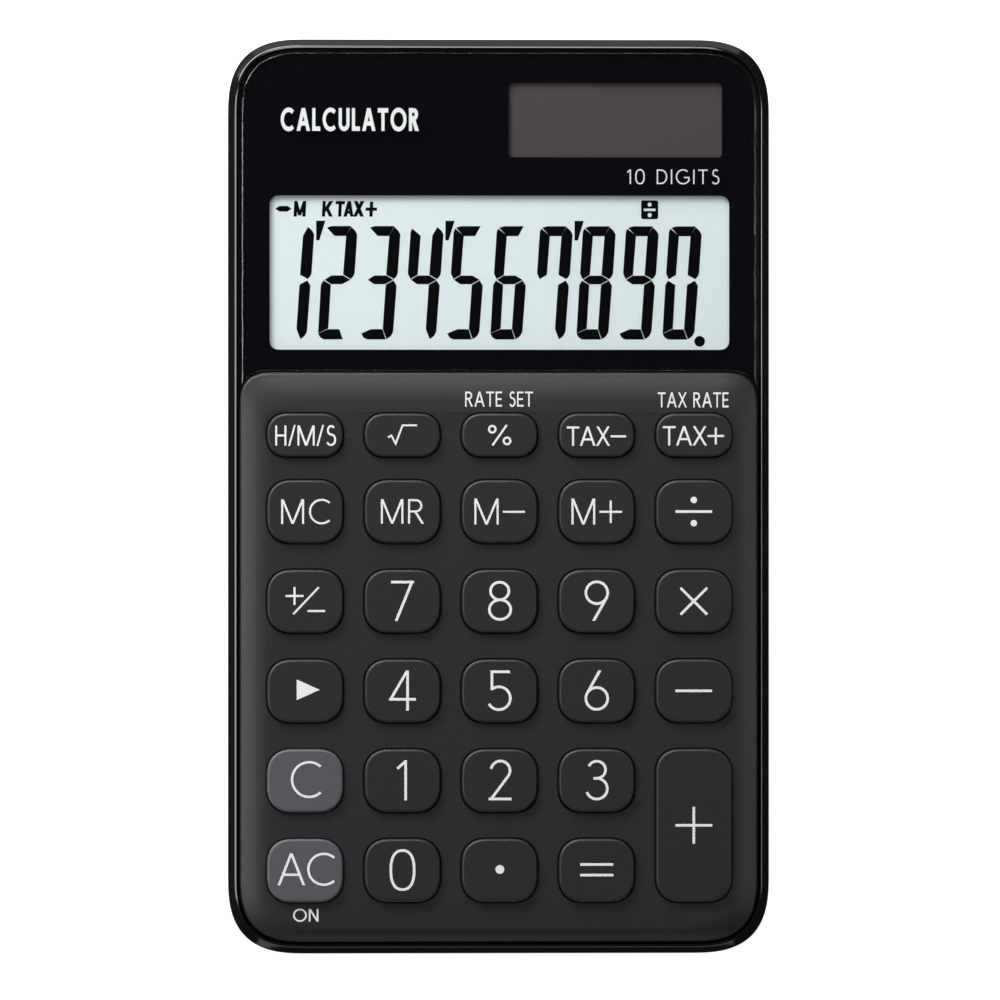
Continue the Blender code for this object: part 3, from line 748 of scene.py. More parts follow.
def make_upper_shell(finish):
    """The key plate and the slab under the display, in one moulding, with the pocket under the keys."""
    mesh = bmesh.new()
    rim = add_ring(mesh, case_outline(SLAB_INSET), SLAB_BOTTOM)
    slab_edge = add_ring(mesh, case_outline(SLAB_INSET), SLAB_TOP)
    join_rings(mesh, rim, slab_edge)
    foot = add_ring(mesh, plate_outline(0.0), SLAB_TOP)
    lcd_low, lcd_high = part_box("lcd_front_glass")
    cell_low, cell_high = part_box("solar_cell")
    gap = 0.2 * MM
    boxes = [
        (lcd_low.x - gap, lcd_high.x + gap, lcd_low.y - gap / 2, lcd_high.y + gap),
        (cell_low.x - gap, cell_high.x + gap, cell_low.y - gap, cell_high.y + gap),
    ]
    upper, lower = [], []
    for box in boxes:
        upper.append(add_ring(mesh, rectangle(*box), SLAB_TOP))
        lower.append(add_ring(mesh, rectangle(*box), SLAB_BOTTOM))
        join_rings(mesh, upper[-1], lower[-1])
    fill(mesh, slab_edge, [foot, *upper])
    tops = add_plate_top(mesh, foot)
    feet = [add_hole_wall(mesh, name, top) for name, top in zip(KEYS, tops)]
    pocket = rectangle(*grown((KEYPAD_LOW.x, KEYPAD_HIGH.x, KEYPAD_LOW.y, KEYPAD_HIGH.y), 0.5 * MM))
    roof = add_ring(mesh, pocket, POCKET_TOP)
    mouth = add_ring(mesh, pocket, SLAB_BOTTOM)
    join_rings(mesh, roof, mouth)
    fill(mesh, roof, feet, facing=-1)
    fill(mesh, rim, [mouth, *lower], facing=-1)
    shell = finished_piece("upper_shell", mesh, finish)
    bosses, pilots = [], []
    for name in SCREWS:
        at = screw_place(name)
        top = PILOT_TOP + (BOSS_ROOF_THIN if at[1] > PLATE_TOP else BOSS_ROOF)
        bosses.append(prism(circle(BOSS_RADIUS, at, 24), BOSS_BOTTOM, top))
        pilots.append(prism(circle(PASSAGE_RADIUS, at, 24), BOSS_BOTTOM - 1 * MM, PILOT_TOP))
    combine(shell, "UNION", bosses)
    combine(shell, "DIFFERENCE", pilots)
    shade_again(shell)
    even_shading(shell)
    # Painted shade: the shell's faces below 5.7 mm, round the slab and in the groove between the rim and the
    # display window, are painted near black.
    shell.data.materials.append(plastic("ledge_black", (0.002, 0.002, 0.002), 0.7, level=0.12))
    for face in shell.data.polygons:
        if face.center.z < LEDGE_SHADE_TO:
            face.material_index = 1
    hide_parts("upper_case")


# ---- display and solar cell


def make_display():
    """The clear pane, with a fine bevel, and the black print behind it with its two openings."""
    edge = -0.05 * MM  # the bevel's foot reaches a little past the pane's nominal outline
    rings = [(pane_outline(edge, PANE_TOP_EDGE), PANE_LOW.z)]
    steps = ((0.15 * MM, 8), (0.03 * MM, 20), (-0.02 * MM, 45), (edge, 70))
    for height, inset in falling(PANE_HIGH.z, 0.21 * MM, steps):
        rings.append((pane_outline(inset, PANE_TOP_EDGE), height))
    pane = solid("window_pane", clear_acrylic(), "clear_acrylic", rings)
    even_shading(pane)
    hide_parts("display_window")

    views = [rounded(*LCD_VIEW, LCD_VIEW_CORNER, power=2.2), rounded(*SOLAR_VIEW, SOLAR_VIEW_CORNER)]
    outlines = [pane_outline(0.1 * MM), *views]
    black = ink("mask_ink", (0.0034, 0.0032, 0.0048), 0.25, 0.1)
    mask = pierced_plate("panel_mask", outlines, MASK_LOW.z, MASK_HIGH.z, black, "printed_film")
    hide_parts("panel_film")


# Seven-segment digits, in millimetres. A digit leans to the right as it rises.
SEGMENTS = {
    "a": ((0.30, 14.37), (1.33, 13.35), (2.76, 13.35), (3.35, 14.56), (0.86, 14.56)),
    "b": ((3.40, 14.43), (2.84, 13.35), (2.79, 8.33), (3.77, 7.80), (4.05, 8.1), (4.2, 8.5), (4.2, 13.5),
          (3.9, 14.0)),
    "c": ((3.73, 7.53), (2.81, 7.0), (2.80, 1.34), (3.37, 0.04), (3.86, 0.42), (4.11, 0.96), (4.16, 6.9)),
    "d": ((0.07, 0.71), (0.35, 0.25), (0.79, 0.0), (3.22, 0.0), (2.71, 1.25), (1.28, 1.25)),
    "e": ((0.28, 7.53), (0.0, 7.0), (0.06, 0.82), (1.27, 1.38), (1.22, 7.0)),
    "f": ((0.16, 14.23), (0.0, 13.9), (0.0, 8.5), (0.36, 7.80), (1.22, 8.33), (1.27, 13.35)),
    "g": ((0.46, 7.66), (1.27, 7.13), (2.70, 7.13), (3.66, 7.66), (2.77, 8.18), (1.25, 8.18)),
}
LIT = {
    "0": "abcdef", "1": "bc", "2": "abged", "3": "abgcd", "4": "fgbc",
    "5": "afgcd", "6": "afgedc", "7": "fabc", "8": "abcdefg", "9": "abcdfg",
}
READING = "1234567890"
DIGIT_PITCH = 5.57
DIGIT_LEAN = 0.067
DIGIT_FOOT = 20.31
LAST_DIGIT_LEFT = 21.16
TICKS_BEFORE = (1, 4, 7)
SEGMENT_SPREAD = 0.035  # how far a segment's ink reaches past its outline


def widened(points, margin):
    """An anticlockwise polygon with each of its sides moved out by margin."""
    corners = [Vector(point) for point in points]
    moved = []
    for here, corner in enumerate(corners):
        ways = (corner - corners[here - 1], corners[(here + 1) % len(corners)] - corner)
        normals = [Vector((way.y, -way.x)).normalized() for way in ways]
        middle = (normals[0] + normals[1]).normalized()
        moved.append(tuple(corner + middle * margin / middle.dot(normals[0])))
    return moved


def leaning(points, left, foot):
    return [(left + x + DIGIT_LEAN * y, foot + y) for x, y in points]


def digit_left(place):
    return LAST_DIGIT_LEFT - (len(READING) - 1 - place) * DIGIT_PITCH


def make_reading():
    """The number on the display, its thousands ticks and its decimal point."""
    black = ink("segment_black", (0.0012, 0.0012, 0.0014), 0.5, 0.05)
    for place, digit in enumerate(READING):
        left = digit_left(place)
        shapes = [leaning(SEGMENTS[segment], left, DIGIT_FOOT) for segment in LIT[digit]]
        make_segments(f"lcd_digit_{place + 1}", shapes, black)
    ticks = []
    for place in TICKS_BEFORE:
        left = digit_left(place) - 0.14
        ticks.append([(left, 33.1), (left + 0.35, 33.1), (left + 1.11, 35.56), (left, 35.56)])
    make_segments("lcd_ticks", ticks, black)
    make_segments("lcd_decimal_point", [circle(0.66, (26.04, 20.05), 28)], black)
    dash = [(-28.8, 37.13), (-28.3, 36.8), (-27.3, 36.8), (-26.8, 37.13), (-27.3, 37.46), (-28.3, 37.46)]
    signs = [dash]
    letters = (("M", -26.46), ("K", -22.8), ("T", -21.1), ("A", -20.0), ("X", -18.7), ("+", -17.2))
    for letter, left in letters:
        signs += placed(BOLD[letter], left, 36.15, 1.95, lean=0.05)
    make_segments("lcd_indicators", signs, black)
    make_sign_box(black)


def make_sign_box(black):
    """The divide sign, cut out of a small dark box."""
    x, y = 19.56, 37.04
    half_width, half_height = 1.1, 1.21
    box = (x - half_width, x + half_width, y - half_height, y + half_height)
    outlines = [rounded(*box, 0.25, power=2, steps=4)]
    outlines.append(rectangle(x - 0.76, x + 0.76, y - 0.16, y + 0.16))
    outlines += [circle(0.27, (x, y + rise), 16) for rise in (0.68, -0.68)]
    rings = [[(px * MM, py * MM) for px, py in outline] for outline in outlines]
    pierced_plate("lcd_divide_sign", rings, *segment_heights(), black, "lcd_segment")


def segment_heights():
    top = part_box("lcd_front_polarizer")[1].z
    return top - SUNK, top + PRINT


def make_segments(name, shapes, finish):
    mesh = bmesh.new()
    add_flat(mesh, [widened(shape, SEGMENT_SPREAD) for shape in shapes], *segment_heights())
    finished_piece(name, mesh, finish)


# ---- lettering, drawn with strokes
# A glyph is a list of polygons on a capital height of 1, and its width.

Glyph = namedtuple("Glyph", "shapes width")


def bar(x_from, x_to, y_from, y_to):
    return [rectangle(x_from, x_to, y_from, y_to)]


def slant(x_low, y_low, x_high, y_high, width):
    """A leaning limb cut level at both ends. Its width is measured across."""
    half = width / 2
    return [[(x_low - half, y_low), (x_low + half, y_low), (x_high + half, y_high), (x_high - half, y_high)]]


def limb(start, end, stroke):
    """A leaning limb cut square at its start and level at its end."""
    along = Vector(end) - Vector(start)
    side = Vector((-along.y, along.x)).normalized() * stroke / 2
    half = stroke / 2 * along.length / abs(along.y)
    half = math.copysign(half, side.x)
    first = Vector(start)
    return [[tuple(first + side), tuple(first - side), (end[0] - half, end[1]), (end[0] + half, end[1])]]


def path(points, stroke, closed=False):
    """A stroke along points, mitred where it turns, as one polygon for each stretch."""
    points = [Vector(point) for point in points]
    count = len(points)
    sides = []
    for here in range(count):
        before = points[here - 1] if here or closed else None
        after = points[(here + 1) % count] if here + 1 < count or closed else None
        ways = []
        if before is not None:
            ways.append((points[here] - before).normalized())
        if after is not None:
            ways.append((after - points[here]).normalized())
        normals = [Vector((-way.y, way.x)) for way in ways]
        middle = sum(normals, Vector((0.0, 0.0))).normalized()
        sides.append(middle * (stroke / 2) / middle.dot(normals[0]))
    shapes = []
    for here in range(count if closed else count - 1):
        there = (here + 1) % count
        quad = (points[here] + sides[here], points[here] - sides[here])
        quad += (points[there] - sides[there], points[there] + sides[there])
        shapes.append([tuple(corner) for corner in quad])
    return shapes


def arc(centre, across, along, start, end, stroke, power=2, steps=20):
    """A stroke along part of an ellipse or a superellipse, from one angle to another in degrees."""
    points = []
    closed = abs(end - start) >= 360
    for step in range(steps if closed else steps + 1):
        turn = math.radians(start + (end - start) * step / steps)
        x, y = corner_point((0.0, 0.0), 1.0, turn, power)
        points.append((centre[0] + across * x, centre[1] + along * y))
    return path(points, stroke, closed)


def disc(centre, radius):
    return [circle(radius, centre, 20)]


def named_glyphs(drawn):
    return {letter: Glyph(*shapes_and_width) for letter, shapes_and_width in drawn.items()}


def turned(glyph):
    """A glyph turned upside down."""
    shapes = [[(glyph.width - x, 1 - y) for x, y in shape] for shape in glyph.shapes]
    return Glyph(shapes, glyph.width)


def digit_glyphs(s):
    seven = bar(0.0, 0.57, 1 - s, 1.0) + slant(0.127, 0.0, 0.52, 1 - s / 2, 1.1 * s)
    four = bar(0.462 - s / 2, 0.462 + s / 2, 0.0, 1.0) + bar(0.0, 0.67, 0.283 - s / 2, 0.283 + s / 2)
    four += slant(0.04, 0.283, 0.457, 1.0, 1.15 * s)
    five = bar(0.117 - s / 2, 0.117 + s / 2, 0.51, 1.0) + bar(0.081, 0.567, 1 - s, 1.0)
    five += arc((0.291, 0.308), 0.286, 0.286, 129, -151, s)
    one = bar(0.239 - s / 2, 0.239 + s / 2, 0.0, 1.0) + path([(0.03, 0.79), (0.225, 0.963)], s)
    two = arc((0.316, 0.741), 0.238, 0.238, 170, -38, s) + limb((0.5035, 0.5945), (0.058, 0.0), s)
    two += bar(0.02, 0.591, 0.0, s)
    three = arc((0.304, 0.7585), 0.218, 0.2135, 156, -90, s)
    three += arc((0.304, 0.2855), 0.263, 0.2595, 90, -161, s)
    three += bar(0.219, 0.306, 0.545 - s / 2, 0.545 + s / 2)
    zero = arc((0.324, 0.5), 0.324 - s / 2, 0.52 - s / 2, 0, 360, s, 2.4, 36)
    eight = arc((0.30, 0.745), 0.23, 0.22, 0, 360, s, 2, 28)
    eight += arc((0.31, 0.28), 0.268, 0.245, 0, 360, s, 2, 32)
    nine = arc((0.314, 0.70), 0.273, 0.273, 0, 360, s, 2, 32) + slant(0.235, 0.0, 0.55, 0.56, 1.18 * s)
    made = named_glyphs({
        "0": (zero, 0.648), "1": (one, 0.32), "2": (two, 0.591), "3": (three, 0.607), "4": (four, 0.67),
        "5": (five, 0.62), "7": (seven, 0.57), "8": (eight, 0.6), "9": (nine, 0.628),
    })
    made["6"] = turned(made["9"])
    return made


def capital_glyphs(s):
    """Capitals and signs for a stroke s of the capital height."""
    h = s / 2
    stem = bar(0, s, 0, 1)
    spine = arc((0.28, 0.76), 0.22 - h, 0.26 - h, 35, 270, s, 2, 18)
    open_ring = (0.5, 0.5), 0.5 - h, 0.52 - h
    return named_glyphs({
        "A": (slant(h, 0, 0.41, 1, 1.1 * s) + slant(0.82 - h, 0, 0.41, 1, 1.1 * s)
              + bar(0.16, 0.66, 0.33 - h, 0.33 + h), 0.82),
        "C": (arc(*open_ring, 48, 312, s, 2, 30), 0.86),
        "D": (stem + bar(0, 0.3, 0, s) + bar(0, 0.3, 1 - s, 1)
              + arc((0.3, 0.5), 0.42 - h, 0.5 - h, 90, -90, s), 0.72),
        "E": (stem + bar(0, 0.52, 0, s) + bar(0, 0.48, 0.5 - h, 0.5 + h) + bar(0, 0.52, 1 - s, 1), 0.52),
        "G": (arc(*open_ring, 48, 330, s, 2, 30) + bar(0.55, 0.94, 0.45 - h, 0.45 + h)
              + bar(0.94 - s, 0.94, 0.2, 0.45), 0.94),
        "H": (stem + bar(0.58 - s, 0.58, 0, 1) + bar(0, 0.58, 0.5 - h, 0.5 + h), 0.58),
        "I": (stem, s),
        "L": (stem + bar(0, 0.5, 0, s), 0.5),
        "M": (stem + bar(0.9 - s, 0.9, 0, 1) + slant(0.45, 0, h * 1.3, 1, 1.15 * s)
              + slant(0.45, 0, 0.9 - h * 1.3, 1, 1.15 * s), 0.9),
        "O": (arc(*open_ring, 0, 360, s, 2, 36), 1.0),
        "R": (stem + bar(0, 0.3, 1 - s, 1) + bar(0, 0.3, 0.46, 0.46 + s)
              + arc((0.3, 0.73), 0.27 - h, 0.27 - h, 90, -90, s, 2, 14)
              + slant(0.64 - h * 1.3, 0, 0.28, 0.5, 1.25 * s), 0.64),
        "N": (stem + bar(0.7 - s, 0.7, 0, 1) + slant(0.7 - h * 1.2, 0, h * 1.2, 1, 1.2 * s), 0.7),
        "S": (spine + arc((0.27, 0.24 + h), 0.27 - h, 0.26, 90, -152, s, 2, 18), 0.54),
        "T": (bar(0, 0.66, 1 - s, 1) + bar(0.33 - h, 0.33 + h, 0, 1), 0.66),
        "U": (bar(0, s, 0.3, 1) + bar(0.68 - s, 0.68, 0.3, 1)
              + arc((0.34, 0.32), 0.34 - h, 0.33 - h, 180, 360, s, 2, 16), 0.68),
        "X": (slant(0.06, 0, 0.66, 1, 1.15 * s) + slant(0.68, 0, 0.08, 1, 1.15 * s), 0.74),
        "/": (slant(0.05, -0.02, 0.35, 1.02, 0.95 * s), 0.4),
        "-": (bar(0, 0.82, 0.49 - h, 0.49 + h), 0.82),
        "+": (bar(0, 0.86, 0.49 - h, 0.49 + h) + bar(0.43 - h, 0.43 + h, 0.06, 0.92), 0.86),
        " ": ([], 0.32),
    })


def bold_glyphs():
    """The narrow bold signs along the top of the display."""
    s = 0.18
    h = s / 2
    stem = bar(0, s, 0, 1)
    return named_glyphs({
        "M": (stem + bar(0.76 - s, 0.76, 0, 1) + slant(0.38, 0.08, h, 1, s)
              + slant(0.38, 0.08, 0.76 - h, 1, s), 0.76),
        "K": (stem + slant(0.08 + h, 0.34, 0.55, 1, 1.25 * s) + slant(0.57, 0, 0.26, 0.62, 1.15 * s), 0.66),
        "T": (bar(0, 0.58, 1 - s, 1) + bar(0.29 - h, 0.29 + h, 0, 1), 0.58),
        "A": (slant(h, 0, 0.31, 1, 1.05 * s) + slant(0.62 - h, 0, 0.31, 1, 1.05 * s)
              + bar(0.12, 0.5, 0.2, 0.2 + 0.8 * s), 0.62),
        "X": (slant(0.07, 0, 0.52, 1, 1.2 * s) + slant(0.53, 0, 0.08, 1, 1.2 * s), 0.6),
        "+": (bar(0, 0.72, 0.48 - h, 0.48 + h) + bar(0.36 - h, 0.36 + h, 0, 0.96), 0.72),
    })


BOLD = bold_glyphs()


def placed(glyph, left, foot, height, lean=0.0):
    """A glyph's polygons in millimetres."""
    return [
        [(left + height * (x + lean * y), foot + height * y) for x, y in shape] for shape in glyph.shapes
    ]


def line_of(text, glyphs, centre, middle, height, spacing, stretch=1.0):
    """A line of text centred on a point, in millimetres. spacing is a share of the height."""
    widths = [glyphs[letter].width for letter in text]
    total = height * (sum(widths) + spacing * (len(text) - 1))
    left = -total / 2
    shapes = []
    for letter, width in zip(text, widths):
        shapes += placed(glyphs[letter], left, middle - height / 2, height)
        left += height * (width + spacing)
    return [[(centre + stretch * x, y) for x, y in shape] for shape in shapes]


DIGIT_HEIGHT = 5.17
DIGITS = digit_glyphs(0.065)
LINE = 0.33  # stroke of the signs on the keys, in millimetres


def sign_shapes(name):
    """The shapes of each key that holds a sign, about its own centre, in millimetres."""
    half = LINE / 2
    if name == "key_divide":
        return bar(-2.37, 2.37, -half, half) + disc((0, 1.5), 0.42) + disc((0, -1.5), 0.42)
    if name == "key_multiply":
        return path([(-1.72, -1.72), (1.72, 1.72)], LINE) + path([(-1.72, 1.72), (1.72, -1.72)], LINE)
    if name == "key_minus":
        return bar(-2.37, 2.37, -half, half)
    if name == "key_plus":
        return bar(-2.38, 2.38, -half, half) + bar(-half, half, -2.38, 2.38)
    if name == "key_equals":
        return bar(-2.14, 2.14, 0.58, 0.58 + LINE) + bar(-2.14, 2.14, -0.46 - LINE, -0.46)
    if name == "key_point":
        return disc((0.03, 0.12), 0.57)
    if name == "key_backspace":
        return [[(-1.1, -1.16), (1.86, 0.17), (-1.1, 1.5)]]
    if name == "key_sqrt":
        return path([(-1.87, -0.3), (-1.42, -0.06), (-0.88, -1.13), (0.0, 1.26), (1.86, 1.26)], 0.23)
    if name == "key_percent":
        rings = arc((-0.95, 0.75), 0.43, 0.43, 0, 360, 0.26) + arc((0.95, -0.75), 0.43, 0.43, 0, 360, 0.26)
        return rings + path([(-0.92, -1.32), (0.92, 1.32)], 0.26)
    # The sign-change key: a plus and a minus on either side of a slash
    shapes = bar(-2.54, -0.22, 0.56, 0.83) + bar(-1.52, -1.25, -0.47, 1.85)
    shapes += path([(-1.55, -1.66), (1.75, 1.82)], 0.25)
    return shapes + bar(0.3, 2.55, -1.38, -1.11)


WORDS = {  # key: (text, capital height, stroke, spacing as a share of the height, stretch, shift, rise)
    "key_hms": ("H/M/S", 2.6, 0.26, 0.09, 0.95, 0.06, -0.06),
    "key_tax_minus": ("TAX-", 2.5, 0.27, 0.03, 0.98, -0.04, -0.13),
    "key_tax_plus": ("TAX+", 2.5, 0.27, 0.03, 1.0, -0.05, -0.08),
    "key_mc": ("MC", 3.16, 0.25, 0.19, 1.04, 0.1, 0.0),
    "key_mr": ("MR", 3.16, 0.25, 0.19, 1.02, 0.0, 0.02),
    "key_m_minus": ("M-", 3.34, 0.25, 0.16, 1.04, 0.0, 0.0),
    "key_m_plus": ("M+", 3.34, 0.26, 0.16, 1.02, 0.0, 0.0),
    "key_c": ("C", 4.6, 0.3, 0.0, 1.03, 0.18, 0.17),
    "key_ac": ("AC", 4.12, 0.3, 0.06, 1.05, 0.2, 0.17),
}


def legend_shapes(name):
    x, y, *_ = KEY_SIZES[name]
    x, y = x / MM, y / MM
    label = name.removeprefix("key_")
    if label in DIGITS:
        return line_of(label, DIGITS, x, y + 0.06, DIGIT_HEIGHT, 0.0)
    if name in WORDS:
        text, height, stroke, spacing, stretch, shift, rise = WORDS[name]
        glyphs = capital_glyphs(stroke / height)
        return line_of(text, glyphs, x + shift, y + rise, height, spacing, stretch)
    return [[(x + px, y + py) for px, py in shape] for shape in sign_shapes(name)]


def make_print(name, shapes, top, finish, body=CHASSIS):
    mesh = bmesh.new()
    add_flat(mesh, shapes, top - SUNK, top + PRINT)
    return finished_piece(name, mesh, finish, body)


CAPTIONS = {  # name: (text, centre, middle, capital height, stroke, spacing, stretch), in millimetres
    "caption_rate_set": ("RATE SET", -0.03, 12.56, 1.95, 0.235, 0.12, 0.815),
    "caption_tax_rate": ("TAX RATE", 25.07, 12.47, 1.95, 0.245, 0.12, 0.78),
    "caption_on": ("ON", -25.0, -54.0, 1.62, 0.2, 0.14, 1.1),
}


def make_captions(white):
    for name, (text, centre, middle, height, stroke, spacing, stretch) in CAPTIONS.items():
        shapes = line_of(text, capital_glyphs(stroke / height), centre, middle, height, spacing, stretch)
        make_print(name, shapes, PLATE_CROWN, white)
    on_pane = PANE_HIGH.z
    soft_white = ink("panel_white", (0.68, 0.70, 0.705), 0.5)
    word = line_of("CALCULATOR", capital_glyphs(0.195), -19.28, 48.62, 2.95, 0.15, 0.697)
    make_print("panel_word", word, on_pane, soft_white)
    glyphs = {**capital_glyphs(0.085), **digit_glyphs(0.085)}
    note = line_of("10 DIGITS", glyphs, 22.5, 41.28, 1.88, 0.256)
    make_print("panel_note", note, on_pane, soft_white)


# ---- keys and rubber


def make_cap(name, finish):
    """A key: plunger, retaining flange, and a cap with a rounded top edge and a flat face."""
    low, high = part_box(name)
    rings = [
        (key_outline(name, -PLUNGER_INSET), low.z),
        (key_outline(name, -PLUNGER_INSET), FLANGE_BOTTOM),
        (key_outline(name, FLANGE_WIDTH), FLANGE_BOTTOM),
        (key_outline(name, FLANGE_WIDTH), FLANGE_TOP),
        (key_outline(name, 0.0), FLANGE_TOP),
    ]
    for out, up in quarter_round(CAP_ROUND, 6):
        rings.append((key_outline(name, -out), high.z - CAP_ROUND + up))
    slot = "key_grey" if name in GREY_KEYS else "key_dark"
    cap = solid("cap_" + name.removeprefix("key_"), finish, slot, rings, body=name)
    even_shading(cap)
    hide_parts(name)


def make_dome(name, finish):
    """A hollow rubber dome, built at rest and riding on the chassis. Returns its hollow's outline."""
    x, y, _, half_height, _ = KEY_SIZES[name]
    radius = 2.6 * MM if 2 * half_height < SMALL_CAP_LIMIT else 3.6 * MM
    roof = 0.45 * MM
    foot_radius = radius - 0.5 * MM
    base, top = SHEET_TOP, KEYPAD_HIGH.z
    at = (x, y)
    outer = [(radius + 0.25 * MM, base), (radius, base + 0.1 * MM), (radius - 0.25 * MM, base + 0.42 * MM)]
    outer += [(0.68 * radius, top - 0.12 * MM), (0.62 * radius, top)]
    inner = [(0.62 * radius - 0.1 * MM, top - roof), (radius - 0.7 * MM, base + 0.3 * MM)]
    inner.append((foot_radius, base))
    mesh = bmesh.new()
    levels = [add_ring(mesh, circle(size, at), height) for size, height in outer]
    hollow = [add_ring(mesh, circle(size, at), height) for size, height in inner]
    for lower, upper in zip(levels, levels[1:]):
        join_rings(mesh, lower, upper)
    mesh.faces.new(levels[-1])
    for upper, lower in zip(hollow, hollow[1:]):
        join_rings(mesh, upper, lower)
    mesh.faces.new(hollow[0][::-1])
    join_rings(mesh, hollow[-1], levels[0])
    label = name.removeprefix("key_")
    dome = finished_piece("dome_" + label, mesh, finish, sharp=50)
    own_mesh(dome)
    return circle(foot_radius, at)


def make_keypad():
    """The rubber sheet under the keys, with a hollow dome on it for each of them."""
    rubber = plastic("grey_rubber", (0.17, 0.17, 0.18), 0.75, 0.05, 0.2 * MM, 0.006 * MM, 0.3)
    cuts = [make_dome(name, rubber) for name in KEYS]
    outline = rounded(KEYPAD_LOW.x, KEYPAD_HIGH.x, KEYPAD_LOW.y, KEYPAD_HIGH.y, 1.5 * MM, power=2, steps=6)
    for name in SCREWS:
        at = screw_place(name)
        within_sheet = KEYPAD_LOW.y + 3 * MM < at[1] < KEYPAD_HIGH.y
        if within_sheet:
            cuts.append(circle(2.0 * MM, at))
    sheet = pierced_plate("keypad_sheet", [outline, *cuts], KEYPAD_LOW.z, SHEET_TOP, rubber, "rubber")
    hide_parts("rubber_keypad")


# ---- screws


def screw_place(name):
    low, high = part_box(name)
    return ((low.x + high.x) / 2, (low.y + high.y) / 2)


def make_screws():
    """Small pan-head screws with a cross recess. Their heads face the back."""
    steel = metal("screw_steel", (0.42, 0.42, 0.43), 0.32, 0.12 * MM)
    for name in SCREWS:
        low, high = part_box(name)
        at = screw_place(name)
        head = high.x - at[0]
        crown, steps = 0.28 * MM, 6
        profile = []
        for step in range(steps + 1):
            turn = math.radians(90) * step / steps
            out = head * (0.35 + 0.65 * math.sin(turn))
            profile.append((out, low.z + crown * (1 - math.cos(turn))))
        seat = 1.0 * MM
        shank, root, pitch = 0.75 * MM, 0.6 * MM, 0.4 * MM
        profile += [(head, seat), (shank, seat), (root, seat + 0.05 * MM)]
        height = seat + pitch
        while height < high.z - 0.6 * MM:
            profile += [(root, height - 0.3 * pitch), (shank, height), (root, height + 0.3 * pitch)]
            height += pitch
        profile += [(root, high.z - 0.3 * MM), (0.25 * root, high.z)]
        rings = [(circle(radius, at), z) for radius, z in profile]
        screw = solid(name.removeprefix("case_"), steel, "steel", rings, sharp=30)
        arm, half = 0.85 * MM, 0.17 * MM
        deep = low.z + 0.55 * MM
        for across, along in ((arm, half), (half, arm)):
            slot = []
            for share, height in ((1.0, low.z - 0.2 * MM), (0.8, deep)):
                x, y = share * across, share * along
                slot.append((rectangle(at[0] - x, at[0] + x, at[1] - y, at[1] + y), height))
            combine(screw, "DIFFERENCE", [slot])
        shade_again(screw, 30)
        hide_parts(name)


# ---- finishes of the pieces kept from the frame


def repaint(names, finish):
    for name in names:
        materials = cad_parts[name].data.materials
        materials.clear()
        materials.append(finish)


def repaint_kept_nodes():
    repaint(["lcd_front_polarizer"], lcd_face())
    repaint(["lcd_front_glass", "lcd_rear_glass"], plastic("display_glass", (0.55, 0.65, 0.62), 0.1, 0.03))
    repaint(["lcd_reflector"], plastic("reflector_foil", (0.6, 0.66, 0.66), 0.35, 0.04))
    repaint(["solar_cell"], solar_silicon())
    repaint(["zebra_strip"], striped_rubber())
    repaint(["circuit_board"], circuit_green())
    epoxy = plastic("black_epoxy", (0.012, 0.012, 0.012), 0.25, 0.05, 0.8 * MM, 0.02 * MM)
    repaint(["processor_blob"], epoxy)
    repaint(["capacitor", "resistor"], plastic("fired_ceramic", (0.4, 0.28, 0.18), 0.5, 0.1, 0.1 * MM))
    bright = metal("plated_steel", (0.62, 0.61, 0.58), 0.25, 0.25 * MM)
    repaint(["battery_cell", "battery_positive_clip", "battery_negative_spring"], bright)
    repaint(["solar_lead_positive"], plastic("red_sheath", (0.42, 0.02, 0.02), 0.4, 0.06, 0.2 * MM))
    repaint(["solar_lead_negative"], plastic("black_sheath", (0.012, 0.012, 0.012), 0.4, 0.06, 0.2 * MM))


# ---- floor, lights and camera


def make_floor():
    """A plain white sheet, lit enough from within to show no grey."""
    graph = Graph("floor_paper")
    pale = (0.86, 0.86, 0.86)
    graph.set(Base_Color=graph.blend(graph.noise(0.4), tint(pale, -0.01), tint(pale, 0.01)))
    graph.set(Roughness=0.9, Specular_IOR_Level=0.1)
    graph.set(Emission_Color=(1.0, 1.0, 1.0, 1.0), Emission_Strength=0.9)
    mesh = bmesh.new()
    half = 4.0
    mesh.faces.new([mesh.verts.new((x, y, 0.0)) for x, y in rectangle(-half, half, -half, half)])
    data = bpy.data.meshes.new("floor")
    mesh.to_mesh(data)
    mesh.free()
    data.materials.append(graph.material)
    floor = bpy.data.objects.new("floor", data)
    bpy.context.scene.collection.objects.link(floor)


def softbox(name, bearing, from_zenith, distance, width, height, radiance):
    """A rectangular light aimed at the object. bearing is in degrees from +X, anticlockwise from above."""
    data = bpy.data.lights.new(name, "AREA")
    data.shape = "RECTANGLE"
    data.size = width
    data.size_y = height
    data.energy = radiance * math.pi * width * height
    light = bpy.data.objects.new(name, data)
    turn, tilt = math.radians(bearing), math.radians(from_zenith)
    towards = Vector((math.sin(tilt) * math.cos(turn), math.sin(tilt) * math.sin(turn), math.cos(tilt)))
    light.location = towards * distance
    light.rotation_euler = towards.to_track_quat("Z", "Y").to_euler()
    light.visible_camera = False
    bpy.context.scene.collection.objects.link(light)


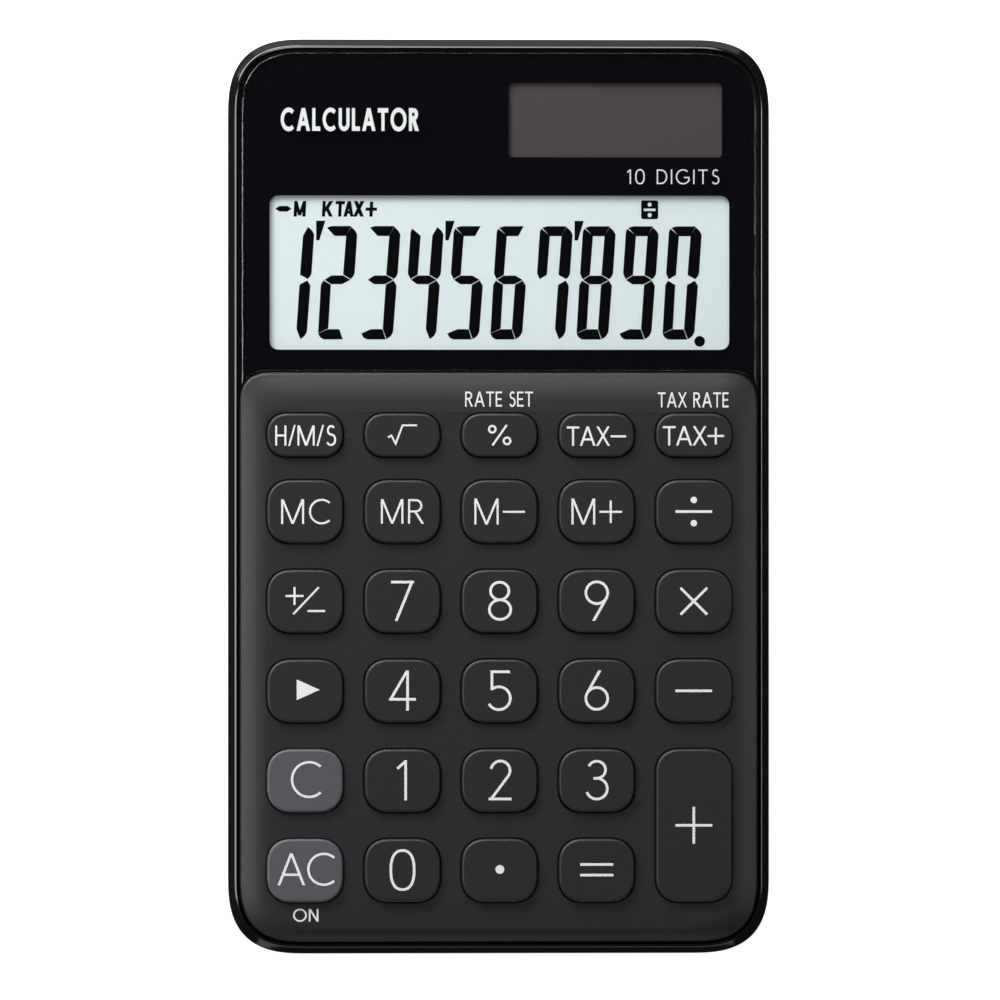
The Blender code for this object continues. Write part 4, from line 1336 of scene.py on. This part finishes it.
def make_lights():
    softbox("main_light", 122, 64, 0.5, 0.56, 0.17, 12.4)
    softbox("left_light", 180, 38, 0.8, 0.3, 0.4, 4.7)
    softbox("top_light", 90, 36, 0.6, 0.23, 0.26, 4.9)
    softbox("top_glow", 90, 80, 0.8, 1.0, 0.2, 0.6)
    softbox("right_strip", 0, 36, 0.8, 0.2, 0.1, 4.8)
    softbox("right_glint", 6, 36, 0.8, 0.07, 0.08, 9.0)
    softbox("low_fill", -90, 66, 0.8, 0.8, 0.4, 0.75)
    world = bpy.data.worlds.new("studio")
    world.use_nodes = True
    background = world.node_tree.nodes["Background"]
    background.inputs["Color"].default_value = (0.85, 0.9, 1.0, 1.0)
    background.inputs["Strength"].default_value = 0.008
    bpy.context.scene.world = world
    bpy.context.scene.view_settings.view_transform = "Standard"


def make_camera():
    """A long way off, above the keys and a little to the left of them."""
    distance = 2.0
    lean = math.radians(3.2)
    sensor = 36.0
    seen_width = 129.16 * MM
    aim = Vector((0.2 * MM, -0.46 * MM, 5.2 * MM))
    data = bpy.data.cameras.new("camera")
    data.sensor_width = sensor
    data.lens = sensor * distance / seen_width
    data.clip_start = 0.1
    data.clip_end = 20.0
    camera = bpy.data.objects.new("camera", data)
    camera.location = aim + distance * Vector((-math.sin(lean), 0.0, math.cos(lean)))
    camera.rotation_euler = (0.0, -lean, 0.0)
    bpy.context.scene.collection.objects.link(camera)
    bpy.context.scene.camera = camera


def main():
    make_rear_shell()
    make_upper_shell(plate_grey())
    make_display()
    make_reading()
    dark = plastic("key_charcoal", (0.0119, 0.0116, 0.014), 0.44)
    grey = plastic("key_grey", (0.081, 0.082, 0.0915), 0.44)
    white = ink("legend_white", (0.76, 0.785, 0.79), 0.5)
    for name in KEYS:
        make_cap(name, grey if name in GREY_KEYS else dark)
        label = name.removeprefix("key_")
        make_print("legend_" + label, legend_shapes(name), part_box(name)[1].z, white, body=name)
    make_captions(white)
    make_keypad()
    make_screws()
    repaint_kept_nodes()
    make_floor()
    make_lights()
    make_camera()


main()
